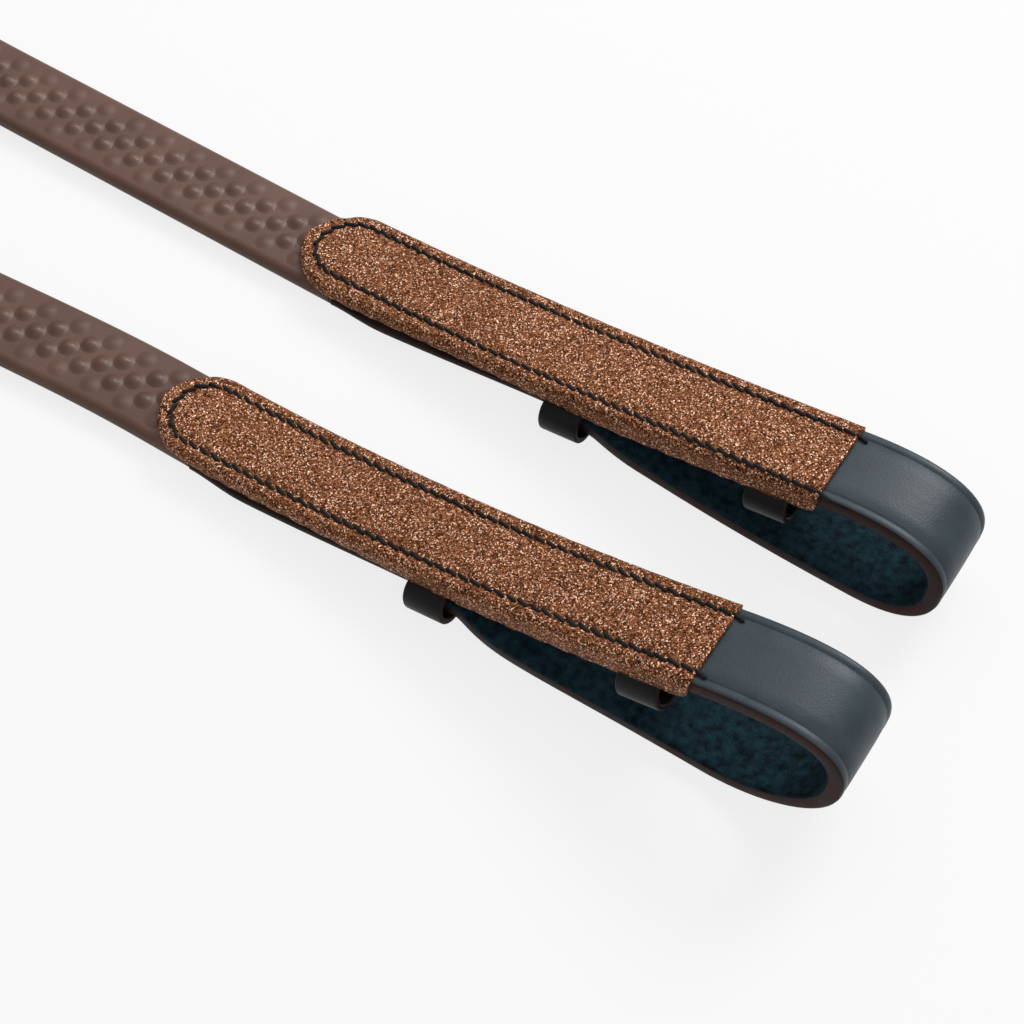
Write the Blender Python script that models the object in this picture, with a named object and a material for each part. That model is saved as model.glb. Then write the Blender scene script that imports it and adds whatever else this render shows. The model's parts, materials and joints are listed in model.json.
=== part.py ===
"""A pair of leather riding reins with hook-stud billets, laid out on a table.

The bit ends lie side by side, each with its billet folded back through the rear keeper.
Behind them the rubber-covered straps turn on edge and are rolled up together, buckle end inside.
+X points to the bit ends, +Z is up, and the resting surface is z = 0. Lengths are in metres.
"""

import math

import bmesh
import bpy
from mathutils import Matrix, Vector

MM = 0.001

# Clearance kept between pieces that touch on the real reins.
FIT = 0.3 * MM

# Rubber grip and the leather core inside it.
GRIP_WIDTH = 21.2 * MM
GRIP_THICKNESS = 6.5 * MM
GRIP_EDGE_ROUND = 2.2 * MM
GRIP_LENGTH = 762 * MM
CORE_WIDTH = 15 * MM
CORE_THICKNESS = 2.6 * MM
CORE_EDGE_ROUND = 0.6 * MM

# Plain leather hand parts between the grips and the centre buckle.
HAND_LENGTH = 430 * MM
HAND_WIDTH = 16 * MM
HAND_THICKNESS = 3.5 * MM
HAND_EDGE_ROUND = 0.7 * MM
POINT_LENGTH = 14 * MM
POINT_TIP_WIDTH = 5 * MM
BUCKLE_HOLE_RADIUS = 1.8 * MM
BUCKLE_HOLE_PITCH = 20 * MM
BUCKLE_HOLE_COUNT = 4
FIRST_HOLE_FROM_TIP = 35 * MM

# Billet: one leather strap under the overlay, round the bit loop and back to its tip.
BILLET_WIDTH = 19 * MM
BILLET_THICKNESS = 4 * MM
OVERLAY_LENGTH = 137 * MM
REAR_TOP = 8 * MM
TIP_BEHIND_KEEPER = 4 * MM
STUD_HOLE_RADIUS = 2.1 * MM

# Overlay: a thin cover over the billet with side lips and a round rear end.
OVERLAY_WALL = 0.8 * MM
OVERLAY_LIP = 4.4 * MM
SEAM_INSET = 3.4 * MM
THREAD_RADIUS = 0.4 * MM

# Backing strip sewn under the rear of the billet.
BACKING_THICKNESS = 1.3 * MM

# Keepers: flat leather rings under the billet. Each bulges past the billet's edges by a share of its inner height.
KEEPER_WIDTH = 9.8 * MM
KEEPER_WALL = 1.4 * MM
FRONT_KEEPER_SLACK = 2.0 * MM
REAR_KEEPER_SLACK = 2.2 * MM
FRONT_KEEPER_BULGE = 0.5
REAR_KEEPER_BULGE = 0.9
FRONT_KEEPER_SETBACK = 6.5 * MM
REAR_KEEPER_SETBACK = 56 * MM

# Hook stud on the underside of the billet, between the keepers.
STUD_SETBACK = 32 * MM
STUD_BASE_RADIUS = 5 * MM
STUD_BASE_THICKNESS = 0.8 * MM
STUD_NECK_RADIUS = 1.7 * MM
STUD_NECK_LENGTH = 1.6 * MM
STUD_HEAD_RADIUS = 3.0 * MM
STUD_HEAD_THICKNESS = 1.2 * MM
STUD_HEAD_LEAN = 1.2 * MM

# Centre buckle at the inner end of the right rein.
BUCKLE_WIRE_RADIUS = 1.2 * MM
BUCKLE_SIDE_CLEARANCE = 0.5 * MM
BUCKLE_REACH = 19 * MM
TONGUE_RADIUS = 0.95 * MM
TONGUE_SLOT_HALF = 2.0 * MM
TONGUE_SLOT_BACK = 5 * MM
CHAPE_RETURN = 24 * MM
CHAPE_WALL = 2.2 * MM

# Layout: lanes of the two reins and the roll of strap behind them.
LANE_SPACING = 53.2 * MM
BIT_END_STAGGER = -0.7 * MM
FLAT_RUN = 95 * MM
TWIST_RUN = 150 * MM
TWIST_DONE = 0.65
ROLL_CORE_RADIUS = 50 * MM
ROLL_LANE_Y = 30 * MM
LAYER_GAP = 1.4 * MM
ROLL_STEP = math.radians(15)
INNER_BEND_RADIUS = 25 * MM
INNER_BEND_ANGLE = math.radians(120)
INNER_BEND_STEPS = 6
INNER_STRAIGHT = 26 * MM

# Tie round the rolled layers.
TIE_WIDTH = 12 * MM
TIE_WALL = 1.0 * MM
TIE_PAST_BEND = math.radians(100)

# The two reins: side of the layout, layer in the roll, how far the flat run drifts outwards, how the bit end rises
# to its front, how much its overlay widens to the rear, and the bit loop as it lies: its height at the overlay's front
# end, its reach, the height of its nose, where it meets the table, and how far it has slid to the right at its nose, on
# the table, half-way back and in the keeper.
REINS = {
    "left": {
        "side": 1,
        "layer": 0,
        "drift": 0,
        "rise_power": 1.5,
        "flare": 2.3 * MM,
        "loop_top": 27.3 * MM,
        "loop_reach": 30.3 * MM,
        "loop_nose": 14.5 * MM,
        "loop_floor": 12 * MM,
        "slides": (1.2 * MM, 2.2 * MM, 1.5 * MM, 0.3 * MM),
    },
    "right": {
        "side": -1,
        "layer": 1,
        "drift": 5 * MM,
        "rise_power": 1.9,
        "flare": 0.8 * MM,
        "loop_top": 32.8 * MM,
        "loop_reach": 34 * MM,
        "loop_nose": 23 * MM,
        "loop_floor": 5 * MM,
        "slides": (0.6 * MM, 0.9 * MM, 2.3 * MM, 0.7 * MM),
    },
}

LAYER_PITCH = GRIP_THICKNESS + LAYER_GAP
TURN_PITCH = 2 * LAYER_PITCH
ROLL_HEIGHT = TIE_WALL + FIT + GRIP_WIDTH / 2
BILLET_REAR = REAR_TOP - OVERLAY_WALL - FIT - BILLET_THICKNESS / 2
TAIL_DROP = BILLET_THICKNESS + KEEPER_WALL + REAR_KEEPER_SLACK
OVERLAY_WIDTH = BILLET_WIDTH + 2 * FIT + 2 * OVERLAY_WALL
INNER_ENDING = INNER_BEND_RADIUS * INNER_BEND_ANGLE + INNER_STRAIGHT
ROLLED_LENGTH = GRIP_LENGTH + HAND_LENGTH - FLAT_RUN - TWIST_RUN - INNER_ENDING
ROLL_RADIUS = LAYER_PITCH + math.sqrt(ROLL_CORE_RADIUS**2 + ROLLED_LENGTH * TURN_PITCH / math.pi)
FRAME_HALF = HAND_WIDTH / 2 + BUCKLE_SIDE_CLEARANCE + BUCKLE_WIRE_RADIUS
EYE_RADIUS = BUCKLE_WIRE_RADIUS + FIT + CHAPE_WALL


# Scene, collections and materials

for old in list(bpy.data.objects):
    bpy.data.objects.remove(old)

PARTS = bpy.data.collections.new("leather_reins")
CUTTERS = bpy.data.collections.new("cutters")
bpy.context.scene.collection.children.link(PARTS)
bpy.context.scene.collection.children.link(CUTTERS)
LAYOUT = bpy.data.objects.new("layout", None)
PARTS.objects.link(LAYOUT)


def material(name, colour, roughness, metallic=0.0):
    made = bpy.data.materials.new(name)
    made.use_nodes = True
    shader = made.node_tree.nodes["Principled BSDF"]
    shader.inputs["Base Color"].default_value = (*colour, 1)
    shader.inputs["Roughness"].default_value = roughness
    shader.inputs["Metallic"].default_value = metallic
    return made


RUBBER = material("brown_rubber", (0.085, 0.045, 0.034), 0.6)
BLACK_LEATHER = material("black_leather", (0.018, 0.02, 0.022), 0.45)
BROWN_LEATHER = material("brown_leather", (0.05, 0.03, 0.022), 0.6)
GLITTER = material("copper_glitter", (0.35, 0.15, 0.075), 0.45, 0.6)
THREAD = material("black_thread", (0.012, 0.012, 0.012), 0.7)
STEEL = material("steel", (0.62, 0.62, 0.6), 0.28, 1.0)


def place(obj, name, surface, parent=LAYOUT):
    """Names a finished object, gives it its material and hangs it on the layout."""
    obj.name = name
    obj.data.name = name
    obj.data.materials.clear()
    obj.data.materials.append(surface)
    PARTS.objects.link(obj)
    obj.parent = parent
    return obj


def mesh_object(name, build):
    """An unlinked object whose mesh the given function fills."""
    mesh = bpy.data.meshes.new(name)
    shape = bmesh.new()
    build(shape)
    bmesh.ops.recalc_face_normals(shape, faces=shape.faces)
    shape.to_mesh(mesh)
    shape.free()
    return bpy.data.objects.new(name, mesh)


def curve_to_mesh(curve_object):
    """The curve's evaluated shape as a mesh object with welded caps."""
    bpy.context.scene.collection.objects.link(curve_object)
    graph = bpy.context.evaluated_depsgraph_get()
    mesh = bpy.data.meshes.new_from_object(curve_object.evaluated_get(graph))
    made = bpy.data.objects.new(curve_object.name, mesh)
    made.matrix_world = curve_object.matrix_world
    bpy.data.objects.remove(curve_object)
    shape = bmesh.new()
    shape.from_mesh(mesh)
    bmesh.ops.remove_doubles(shape, verts=shape.verts, dist=0.01 * MM)
    bmesh.ops.recalc_face_normals(shape, faces=shape.faces)
    shape.to_mesh(mesh)
    shape.free()
    return made


def prism(name, outlines, half_depth, matrix):
    """Closed outlines in a plane, extruded both ways along its normal; an inner outline is a hole."""
    curve = bpy.data.curves.new(name, "CURVE")
    curve.dimensions = "2D"
    curve.fill_mode = "BOTH"
    curve.extrude = half_depth
    for outline in outlines:
        spline = curve.splines.new("POLY")
        spline.points.add(len(outline) - 1)
        for point, (x, y) in zip(spline.points, outline):
            point.co = (x, y, 0, 1)
        spline.use_cyclic_u = True
    made = curve_to_mesh(bpy.data.objects.new(name, curve))
    made.data.transform(matrix)
    return made


# Turns a plane's own x and y into the layout's x and z, with the extrusion along y.
UPRIGHT = Matrix.Rotation(math.radians(90), 4, "X")


def boolean(obj, other, operation):
    """Cuts or joins obj by other, at once, and leaves obj as a plain mesh."""
    bpy.context.scene.collection.objects.link(obj)
    CUTTERS.objects.link(other)
    step = obj.modifiers.new("boolean", "BOOLEAN")
    step.operation = operation
    step.object = other
    graph = bpy.context.evaluated_depsgraph_get()
    mesh = bpy.data.meshes.new_from_object(obj.evaluated_get(graph))
    obj.modifiers.clear()
    obj.data = mesh
    bpy.context.scene.collection.objects.unlink(obj)
    bpy.data.objects.remove(other)
    return obj


def cylinder(name, radius, length, matrix, segments=16):
    def build(shape):
        bmesh.ops.create_cone(
            shape,
            cap_ends=True,
            segments=segments,
            radius1=radius,
            radius2=radius,
            depth=length,
            matrix=matrix,
        )

    return mesh_object(name, build)


def box(name, size, matrix):
    def build(shape):
        bmesh.ops.create_cube(shape, size=1, matrix=matrix @ Matrix.Diagonal((*size, 1)))

    return mesh_object(name, build)


# Ribbons: a strap seen from its side, as a centreline with a thickness

def bezier(start, out, into, end, count):
    """Points along one cubic segment, without its last point."""
    points = []
    for i in range(count):
        t = i / count
        weights = ((1 - t) ** 3, 3 * t * (1 - t) ** 2, 3 * t * t * (1 - t), t**3)
        points.append(sum((w * Vector(p) for w, p in zip(weights, (start, out, into, end))), Vector((0, 0))))
    return points


def ease(share):
    return share * share * (3 - 2 * share)


def normals(line):
    """The left-hand normal at each point of a 2D line."""
    found = []
    for i in range(len(line)):
        along = (line[min(i + 1, len(line) - 1)] - line[max(i - 1, 0)]).normalized()
        found.append(Vector((-along.y, along.x)))
    return found


def shifted(line, distance):
    return [point + normal * distance for point, normal in zip(line, normals(line))]


def ribbon_outline(line, upper, lower):
    """The outline between two distances to the left of a line."""
    return shifted(line, upper) + shifted(line, lower)[::-1]


def billet_height(rein, x):
    """Height of the billet's middle under the overlay, at a place behind the overlay's front end."""
    share = max(0.0, 1 + x / OVERLAY_LENGTH)
    front = rein["loop_top"] - OVERLAY_WALL - FIT - BILLET_THICKNESS / 2
    return BILLET_REAR + (front - BILLET_REAR) * share ** rein["rise_power"]


def billet_slope(rein, x):
    step = 0.5 * MM
    return (billet_height(rein, x + step) - billet_height(rein, x - step)) / (2 * step)


def upper_line(rein, start, end, count):
    """The billet's middle between two places under the overlay."""
    places = [start + (end - start) * i / count for i in range(count + 1)]
    return [Vector((x, billet_height(rein, x))) for x in places]


def tail_point(rein, x):
    """A place on the tail's middle where it lies parallel to the billet."""
    slope = billet_slope(rein, x)
    normal = Vector((-slope, 1)).normalized()
    return Vector((x, billet_height(rein, x))) - normal * TAIL_DROP


def billet_line(rein):
    """The whole billet's middle, under the overlay, round the loop and back to the tip, and how far it has slid."""
    half = BILLET_THICKNESS / 2
    front = Vector((0, billet_height(rein, 0)))
    slope = billet_slope(rein, -MM)
    nose = Vector((rein["loop_reach"] - half, rein["loop_nose"]))
    lowest = Vector((rein["loop_floor"], half))
    inside = -REAR_KEEPER_SETBACK + FIT
    tail_in = tail_point(rein, inside)
    run = lowest.x - tail_in.x
    tip = -REAR_KEEPER_SETBACK - KEEPER_WIDTH - TIP_BEHIND_KEEPER
    line = upper_line(rein, -OVERLAY_LENGTH + FIT, 0, 14)[:-1]
    slid = [0.0] * len(line)
    leaving = front + Vector((1, slope)) * 0.66 * nose.x
    line += bezier(front, leaving, nose + Vector((0.04 * nose.x, 0.45 * front.y)), nose, 9)
    line += bezier(nose, nose - Vector((0, 0.5 * nose.y)), lowest + Vector((0.45 * nose.x, 0)), lowest, 7)
    line += bezier(lowest, lowest - Vector((0.84 * run, 0)), tail_in + Vector((0.1 * run, 0)), tail_in, 12)
    line += [tail_point(rein, inside + (tip - inside) * i / 3) for i in range(4)]
    at_nose, on_table, half_way, in_keeper = rein["slides"]
    stretches = ((0, at_nose, 9), (at_nose, on_table, 7), (on_table, half_way, 6), (half_way, in_keeper, 6))
    for first, last, count in stretches:
        slid += [first + (last - first) * ease(i / count) for i in range(count)]
    return line, slid + [in_keeper] * 4


# The bit end of one rein

def bit_end(name, rein):
    """Billet, overlay, seam, backing, keepers and stud, hung on the axis on which the bit end lifts."""
    lift = bpy.data.objects.new(f"{name}_lift", None)
    PARTS.objects.link(lift)
    lift.parent = LAYOUT
    front = rein["side"] * BIT_END_STAGGER / 2
    lift.location = (front - OVERLAY_LENGTH, rein["side"] * LANE_SPACING / 2, GRIP_THICKNESS)
    front_keeper = keeper(rein, FRONT_KEEPER_SETBACK, FRONT_KEEPER_SLACK, FRONT_KEEPER_BULGE)
    rear_keeper = keeper(rein, REAR_KEEPER_SETBACK, REAR_KEEPER_SLACK, REAR_KEEPER_BULGE)
    pieces = (
        place(billet(rein), f"{name}_billet", BLACK_LEATHER, lift),
        place(overlay(rein), f"{name}_overlay", GLITTER, lift),
        place(seam(rein), f"{name}_overlay_seam", THREAD, lift),
        place(backing(rein), f"{name}_backing", BROWN_LEATHER, lift),
        place(front_keeper, f"{name}_front_keeper", BLACK_LEATHER, lift),
        place(rear_keeper, f"{name}_rear_keeper", BLACK_LEATHER, lift),
        place(hook_stud(rein), f"{name}_hook_stud", STEEL, lift),
    )
    for piece in pieces:
        piece.location = (OVERLAY_LENGTH, 0, -GRIP_THICKNESS)


def billet(rein):
    half = BILLET_THICKNESS / 2
    wide = BILLET_WIDTH / 2
    line, slid = billet_line(rein)
    rings = []
    for upper, lower, aside in zip(shifted(line, half), shifted(line, -half), slid):
        corners_of_ring = ((upper, wide), (upper, -wide), (lower, -wide), (lower, wide))
        rings.append([Vector((point.x, y - aside, point.y)) for point, y in corners_of_ring])
    made = loft("billet", rings)
    hole_x = -STUD_SETBACK - 6 * MM
    top = tail_point(rein, hole_x).y + half + MM
    half_way, in_keeper = rein["slides"][2:]
    hole = Matrix.Translation((hole_x, -(half_way + in_keeper) / 2, 0))
    cutter = cylinder("stud_hole", STUD_HOLE_RADIUS, 2 * top, hole)
    return boolean(made, cutter, "DIFFERENCE")


def overlay_half(rein, x):
    """Half the overlay's width at a place: it widens from its front end towards the grip."""
    return OVERLAY_WIDTH / 2 - rein["flare"] * x / OVERLAY_LENGTH


def rounded_plan(rein, inset, arc_points):
    """Plan outline of the overlay or a line inside it: a square front at x = 0 and a round rear end."""
    rear = -OVERLAY_LENGTH + overlay_half(rein, -OVERLAY_LENGTH)
    radius = overlay_half(rein, rear) - inset
    outline = [(0, overlay_half(rein, 0) - inset)]
    for i in range(arc_points + 1):
        angle = math.radians(90 + 180 * i / arc_points)
        outline.append((rear + radius * math.cos(angle), radius * math.sin(angle)))
    return outline + [(0, inset - overlay_half(rein, 0))]


def overlay(rein):
    """A channel over the billet, trimmed to the rounded plan."""
    past = 5 * MM
    inner_top = BILLET_THICKNESS / 2 + FIT
    outer_top = inner_top + OVERLAY_WALL
    lip = outer_top - OVERLAY_WALL - OVERLAY_LIP
    line = upper_line(rein, -OVERLAY_LENGTH - past, past, 14)
    made = prism("overlay", [ribbon_outline(line, outer_top, lip)], OVERLAY_WIDTH, UPRIGHT)
    longer = upper_line(rein, -OVERLAY_LENGTH - 2 * past, 2 * past, 14)
    hollow = prism("hollow", [ribbon_outline(longer, inner_top, lip - past)], BILLET_WIDTH / 2 + FIT, UPRIGHT)
    made = boolean(made, hollow, "DIFFERENCE")
    tall = 4 * rein["loop_top"]
    trim = prism("trim", [rounded_plan(rein, 0, 10)], tall, Matrix.Identity(4))
    return boolean(made, trim, "INTERSECT")


def seam(rein):
    """The sewing thread, lying on the overlay along both sides and round its rear end."""
    rise = BILLET_THICKNESS / 2 + OVERLAY_WALL + 2 * FIT + THREAD_RADIUS
    corners = rounded_plan(rein, SEAM_INSET, 8)
    sides = 14
    first, last = corners[:2], corners[-2:]
    plan = [Vector(first[0]).lerp(Vector(first[1]), i / sides) for i in range(sides)]
    plan += [Vector(corner) for corner in corners[1:-2]]
    plan += [Vector(last[0]).lerp(Vector(last[1]), i / sides) for i in range(sides + 1)]
    curve = bpy.data.curves.new("seam", "CURVE")
    curve.dimensions = "3D"
    curve.bevel_depth = THREAD_RADIUS
    curve.bevel_resolution = 1
    curve.use_fill_caps = True
    spline = curve.splines.new("POLY")
    spline.points.add(len(plan) - 1)
    for point, (x, y) in zip(spline.points, plan):
        point.co = (x, y, billet_height(rein, x) + rise, 1)
    return curve_to_mesh(bpy.data.objects.new("seam", curve))


def backing(rein):
    """The leather strip under the billet, from the grip to the rear keeper."""
    end = -REAR_KEEPER_SETBACK - KEEPER_WIDTH - FIT
    line = upper_line(rein, -OVERLAY_LENGTH + FIT, end, 6)
    top = -BILLET_THICKNESS / 2 - FIT
    return prism("backing", [ribbon_outline(line, top, top - BACKING_THICKNESS)], OVERLAY_WIDTH / 2, UPRIGHT)


def stadium(width, height, arc_points):
    """An outline with half-round ends, about the origin."""
    radius = height / 2
    outline = []
    for side in (1, -1):
        for i in range(arc_points + 1):
            angle = math.radians(-90 + 180 * i / arc_points)
            x = side * (width / 2 - radius + radius * math.cos(angle))
            outline.append((x, side * radius * math.sin(angle)))
    return outline


def keeper(rein, setback, slack, bulge):
    """A flat ring hanging under the billet, its front edge set back from the overlay's front end."""
    x = -setback - KEEPER_WIDTH / 2
    slope = billet_slope(rein, x)
    inner_height = BILLET_THICKNESS + slack
    outer_height = inner_height + 2 * KEEPER_WALL
    inner_width = BILLET_WIDTH + inner_height * bulge
    outer = stadium(inner_width + 2 * KEEPER_WALL, outer_height, 6)
    inner = stadium(inner_width, inner_height, 6)
    drop = BILLET_THICKNESS / 2 + FIT + outer_height / 2
    across = Matrix(((0, 0, 1, 0), (1, 0, 0, 0), (0, 1, 0, 0), (0, 0, 0, 1)))
    tilt = Matrix.Rotation(-math.atan(slope), 4, "Y")
    middle = Matrix.Translation((x, 0, billet_height(rein, x)))
    hang = middle @ tilt @ Matrix.Translation((0, 0, -drop)) @ across
    return prism("keeper", [outer, inner], KEEPER_WIDTH / 2, hang)


def hook_stud(rein):
    """A round base under the billet, a neck, and a head that leans towards the grip."""
    x = -STUD_SETBACK
    tilt = Matrix.Rotation(-math.atan(billet_slope(rein, x)), 4, "Y")
    seat = Matrix.Translation((x, 0, billet_height(rein, x))) @ tilt
    seat = seat @ Matrix.Translation((0, 0, -BILLET_THICKNESS / 2 - FIT))
    sunk = 0.2 * MM

    def level(depth, along=0):
        return seat @ Matrix.Translation((along, 0, -depth))

    made = cylinder("stud", STUD_BASE_RADIUS, STUD_BASE_THICKNESS, level(STUD_BASE_THICKNESS / 2), 24)
    neck_length = STUD_NECK_LENGTH + 2 * sunk
    neck = cylinder(
        "neck", STUD_NECK_RADIUS, neck_length, level(STUD_BASE_THICKNESS - sunk + neck_length / 2), 16
    )
    made = boolean(made, neck, "UNION")
    head_depth = STUD_BASE_THICKNESS + STUD_NECK_LENGTH + STUD_HEAD_THICKNESS / 2
    head = cylinder("head", STUD_HEAD_RADIUS, STUD_HEAD_THICKNESS, level(head_depth, -STUD_HEAD_LEAN), 20)
    return boolean(made, head, "UNION")


# Routes of the straps, from the billet to the inner end of the roll

def roll_centre():
    x = -OVERLAY_LENGTH - FLAT_RUN - TWIST_RUN
    return Vector((x, ROLL_LANE_Y - ROLL_RADIUS))


def roll_point(rein, turned):
    """A point of the roll, an angle after the strap has entered it at its far side."""
    radius = ROLL_RADIUS - rein["layer"] * LAYER_PITCH - TURN_PITCH * turned / (2 * math.pi)
    angle = math.pi / 2 + turned
    return roll_centre() + radius * Vector((math.cos(angle), math.sin(angle)))


def stations(rein, length):
    """Places along one strap from the billet, each a plan point and the strap's roll about its length."""
    start = Vector((rein["side"] * BIT_END_STAGGER / 2 - OVERLAY_LENGTH, rein["side"] * LANE_SPACING / 2))
    entry = roll_point(rein, 0)
    flat = start.x - FLAT_RUN
    drift = rein["side"] * rein["drift"]
    route = [(Vector((start.x - FIT, start.y)), 0.0)]
    flat_steps = 10
    for i in range(1, flat_steps + 1):
        share = i / flat_steps
        route.append((Vector((start.x - FLAT_RUN * share, start.y + drift * ease(share))), 0.0))
    twist_steps = 12
    for i in range(1, twist_steps + 1):
        share = i / twist_steps
        lane = start.y + drift
        point = Vector((flat + (entry.x - flat) * share, lane + (entry.y - lane) * ease(share)))
        route.append((point, math.pi / 2 * ease(min(1, share / TWIST_DONE))))
    walked = sum((b[0] - a[0]).length for a, b in zip(route, route[1:]))
    turned = 0.0
    while True:
        point = roll_point(rein, turned + ROLL_STEP)
        step = (point - route[-1][0]).length
        if walked + step > length:
            last = turned + ROLL_STEP * (length - walked) / step
            route.append((roll_point(rein, last), math.pi / 2))
            return route
        turned += ROLL_STEP
        walked += step
        route.append((point, math.pi / 2))


def inner_end(route):
    """Adds the tight bend and straight end that carry the buckle, inside the roll."""
    heading = (route[-1][0] - route[-2][0]).normalized()
    turn = INNER_BEND_ANGLE / INNER_BEND_STEPS
    for i in range(INNER_BEND_STEPS):
        heading = Matrix.Rotation(turn, 2) @ heading
        route.append((route[-1][0] + heading * INNER_BEND_RADIUS * turn, math.pi / 2))
    route.append((route[-1][0] + heading * INNER_STRAIGHT, math.pi / 2))
    return route


def split(route, length):
    """The route before and after a distance along it; both parts hold the dividing place."""
    walked = 0.0
    for i in range(1, len(route)):
        step = (route[i][0] - route[i - 1][0]).length
        if walked + step >= length:
            share = (length - walked) / step
            middle = (route[i - 1][0].lerp(route[i][0], share), route[i][1])
            return route[:i] + [middle], [middle] + route[i:]
        walked += step
    return route, []


def section(width, thickness, edge):
    """An eight-cornered strap section: across, then up."""
    w = width / 2
    t = thickness / 2
    return [
        (-w, -t + edge), (-w + edge, -t), (w - edge, -t), (w, -t + edge),
        (w, t - edge), (w - edge, t), (-w + edge, t), (-w, t - edge),
    ]


def sweep(route, profile, widths=None):
    """Rings of a strap section along a route. The strap lies flat at roll 0 and on edge at a quarter turn."""
    rings = []
    across_half = max(p[0] for p in profile)
    for i, (point, roll) in enumerate(route):
        ahead = route[min(i + 1, len(route) - 1)][0]
        behind = route[max(i - 1, 0)][0]
        along = (ahead - behind).normalized()
        side = Vector((-along.y, along.x, 0))
        across = side * math.cos(roll) + Vector((0, 0, 1)) * math.sin(roll)
        outward = -side * math.sin(roll) + Vector((0, 0, 1)) * math.cos(roll)
        resting = GRIP_WIDTH / 2 * math.sin(roll) + GRIP_THICKNESS / 2 * math.cos(roll)
        height = resting + (ROLL_HEIGHT - GRIP_WIDTH / 2) * ease(roll / (math.pi / 2))
        centre = Vector((point.x, point.y, height))
        scale = widths[i] / (2 * across_half) if widths else 1
        rings.append([centre + across * x * scale + outward * y for x, y in profile])
    return rings


def loft(name, outer, inner=None):
    """A closed skin over rings; with inner rings it is a sleeve with a bore."""
    def build(shape):
        skins = [[[shape.verts.new(p) for p in ring] for ring in rings] for rings in (outer, inner or [])]
        count = len(outer[0])
        for rings in skins:
            for a, b in zip(rings, rings[1:]):
                for i in range(count):
                    j = (i + 1) % count
                    shape.faces.new((a[i], a[j], b[j], b[i]))
        for end in (0, -1):
            if inner:
                for i in range(count):
                    j = (i + 1) % count
                    shape.faces.new((skins[0][end][i], skins[0][end][j], skins[1][end][j], skins[1][end][i]))
            else:
                shape.faces.new(skins[0][end])

    return mesh_object(name, build)


def least_gap(routes):
    """The least distance between the faces of neighbouring layers in the roll, measured on points."""
    walls = []
    for route in routes:
        points = [p for p, roll in route if roll > 1.57]
        walls.append([a.lerp(b, i / 4) for a, b in zip(points, points[1:]) for i in range(4)])
    lines = [(k, i, p) for k, wall in enumerate(walls) for i, p in enumerate(wall)]
    apart = 24
    least = min(
        (p - q).length
        for n, (k, i, p) in enumerate(lines)
        for m, j, q in lines[n + 1:]
        if k != m or abs(i - j) > apart
    )
    return least - GRIP_THICKNESS


# Straps

def straps(name, rein):
    """Rubber grip, its core and the plain hand part of one rein. Returns the route."""
    ending = INNER_ENDING if name == "right" else 0
    route = stations(rein, GRIP_LENGTH + HAND_LENGTH - ending)
    if name == "right":
        route = inner_end(route)
    grip, rest = split(route, GRIP_LENGTH)
    outer = section(GRIP_WIDTH, GRIP_THICKNESS, GRIP_EDGE_ROUND)
    bore = section(CORE_WIDTH + 2 * FIT, CORE_THICKNESS + 2 * FIT, CORE_EDGE_ROUND)
    place(loft("grip", sweep(grip, outer), sweep(grip, bore)), f"{name}_grip_rubber", RUBBER)
    core = section(CORE_WIDTH, CORE_THICKNESS, CORE_EDGE_ROUND)
    place(loft("core", sweep(grip, core)), f"{name}_grip_core", BROWN_LEATHER)
    hand = split(rest, FIT)[1]
    profile = section(HAND_WIDTH, HAND_THICKNESS, HAND_EDGE_ROUND)
    if name == "left":
        place(pointed_end(hand, profile), f"{name}_hand_strap", BLACK_LEATHER)
    else:
        place(chape_end(hand, profile), f"{name}_hand_strap", BLACK_LEATHER)
    return route


def end_frame(route):
    """Matrix at the inner end of an on-edge strap: x along it, y out of its flesh side, z up."""
    along = (route[-1][0] - route[-2][0]).normalized()
    end = route[-1][0]
    rows = ((along.x, -along.y, 0, end.x), (along.y, along.x, 0, end.y), (0, 0, 1, ROLL_HEIGHT), (0, 0, 0, 1))
    return Matrix(rows)


def pointed_end(hand, profile):
    """The left hand part: its end narrows to a point and has the buckle holes."""
    total = sum((b[0] - a[0]).length for a, b in zip(hand, hand[1:]))
    body, tip = split(hand, total - POINT_LENGTH)
    hand = body + tip[1:]
    widths = [HAND_WIDTH] * len(body) + [POINT_TIP_WIDTH] * (len(tip) - 1)
    made = loft("hand", sweep(hand, profile, widths))
    for i in range(BUCKLE_HOLE_COUNT):
        before = split(hand, total - FIRST_HOLE_FROM_TIP - i * BUCKLE_HOLE_PITCH)[0]
        through = Matrix.Rotation(math.radians(90), 4, "X")
        cutter = cylinder("hole", BUCKLE_HOLE_RADIUS, 4 * HAND_THICKNESS, end_frame(before) @ through, 12)
        made = boolean(made, cutter, "DIFFERENCE")
    return made


def chape_end(hand, profile):
    """The right hand part: its end turns round the buckle's bar and is sewn back on itself."""
    made = loft("hand", sweep(hand, profile))
    seat = end_frame(hand)
    bar = bar_place(seat)
    eye = cylinder("eye", EYE_RADIUS, HAND_WIDTH, bar, 24)
    made = boolean(made, eye, "UNION")
    lap = 0.4 * MM
    middle = (-CHAPE_RETURN / 2, HAND_THICKNESS / 2 + CHAPE_WALL / 2 - lap / 2, 0)
    size = (CHAPE_RETURN, CHAPE_WALL + lap, HAND_WIDTH - 0.2 * MM)
    turned_back = box("turned_back", size, seat @ Matrix.Translation(middle))
    made = boolean(made, turned_back, "UNION")
    hole = cylinder("bar_hole", BUCKLE_WIRE_RADIUS + FIT, 2 * HAND_WIDTH, bar, 24)
    made = boolean(made, hole, "DIFFERENCE")
    slot_reach = TONGUE_SLOT_BACK + 2 * EYE_RADIUS
    slot_place = bar @ Matrix.Translation((slot_reach / 2 - TONGUE_SLOT_BACK, 0, 0))
    slot = box("tongue_slot", (slot_reach, 3 * EYE_RADIUS, 2 * TONGUE_SLOT_HALF), slot_place)
    return boolean(made, slot, "DIFFERENCE")


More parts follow.
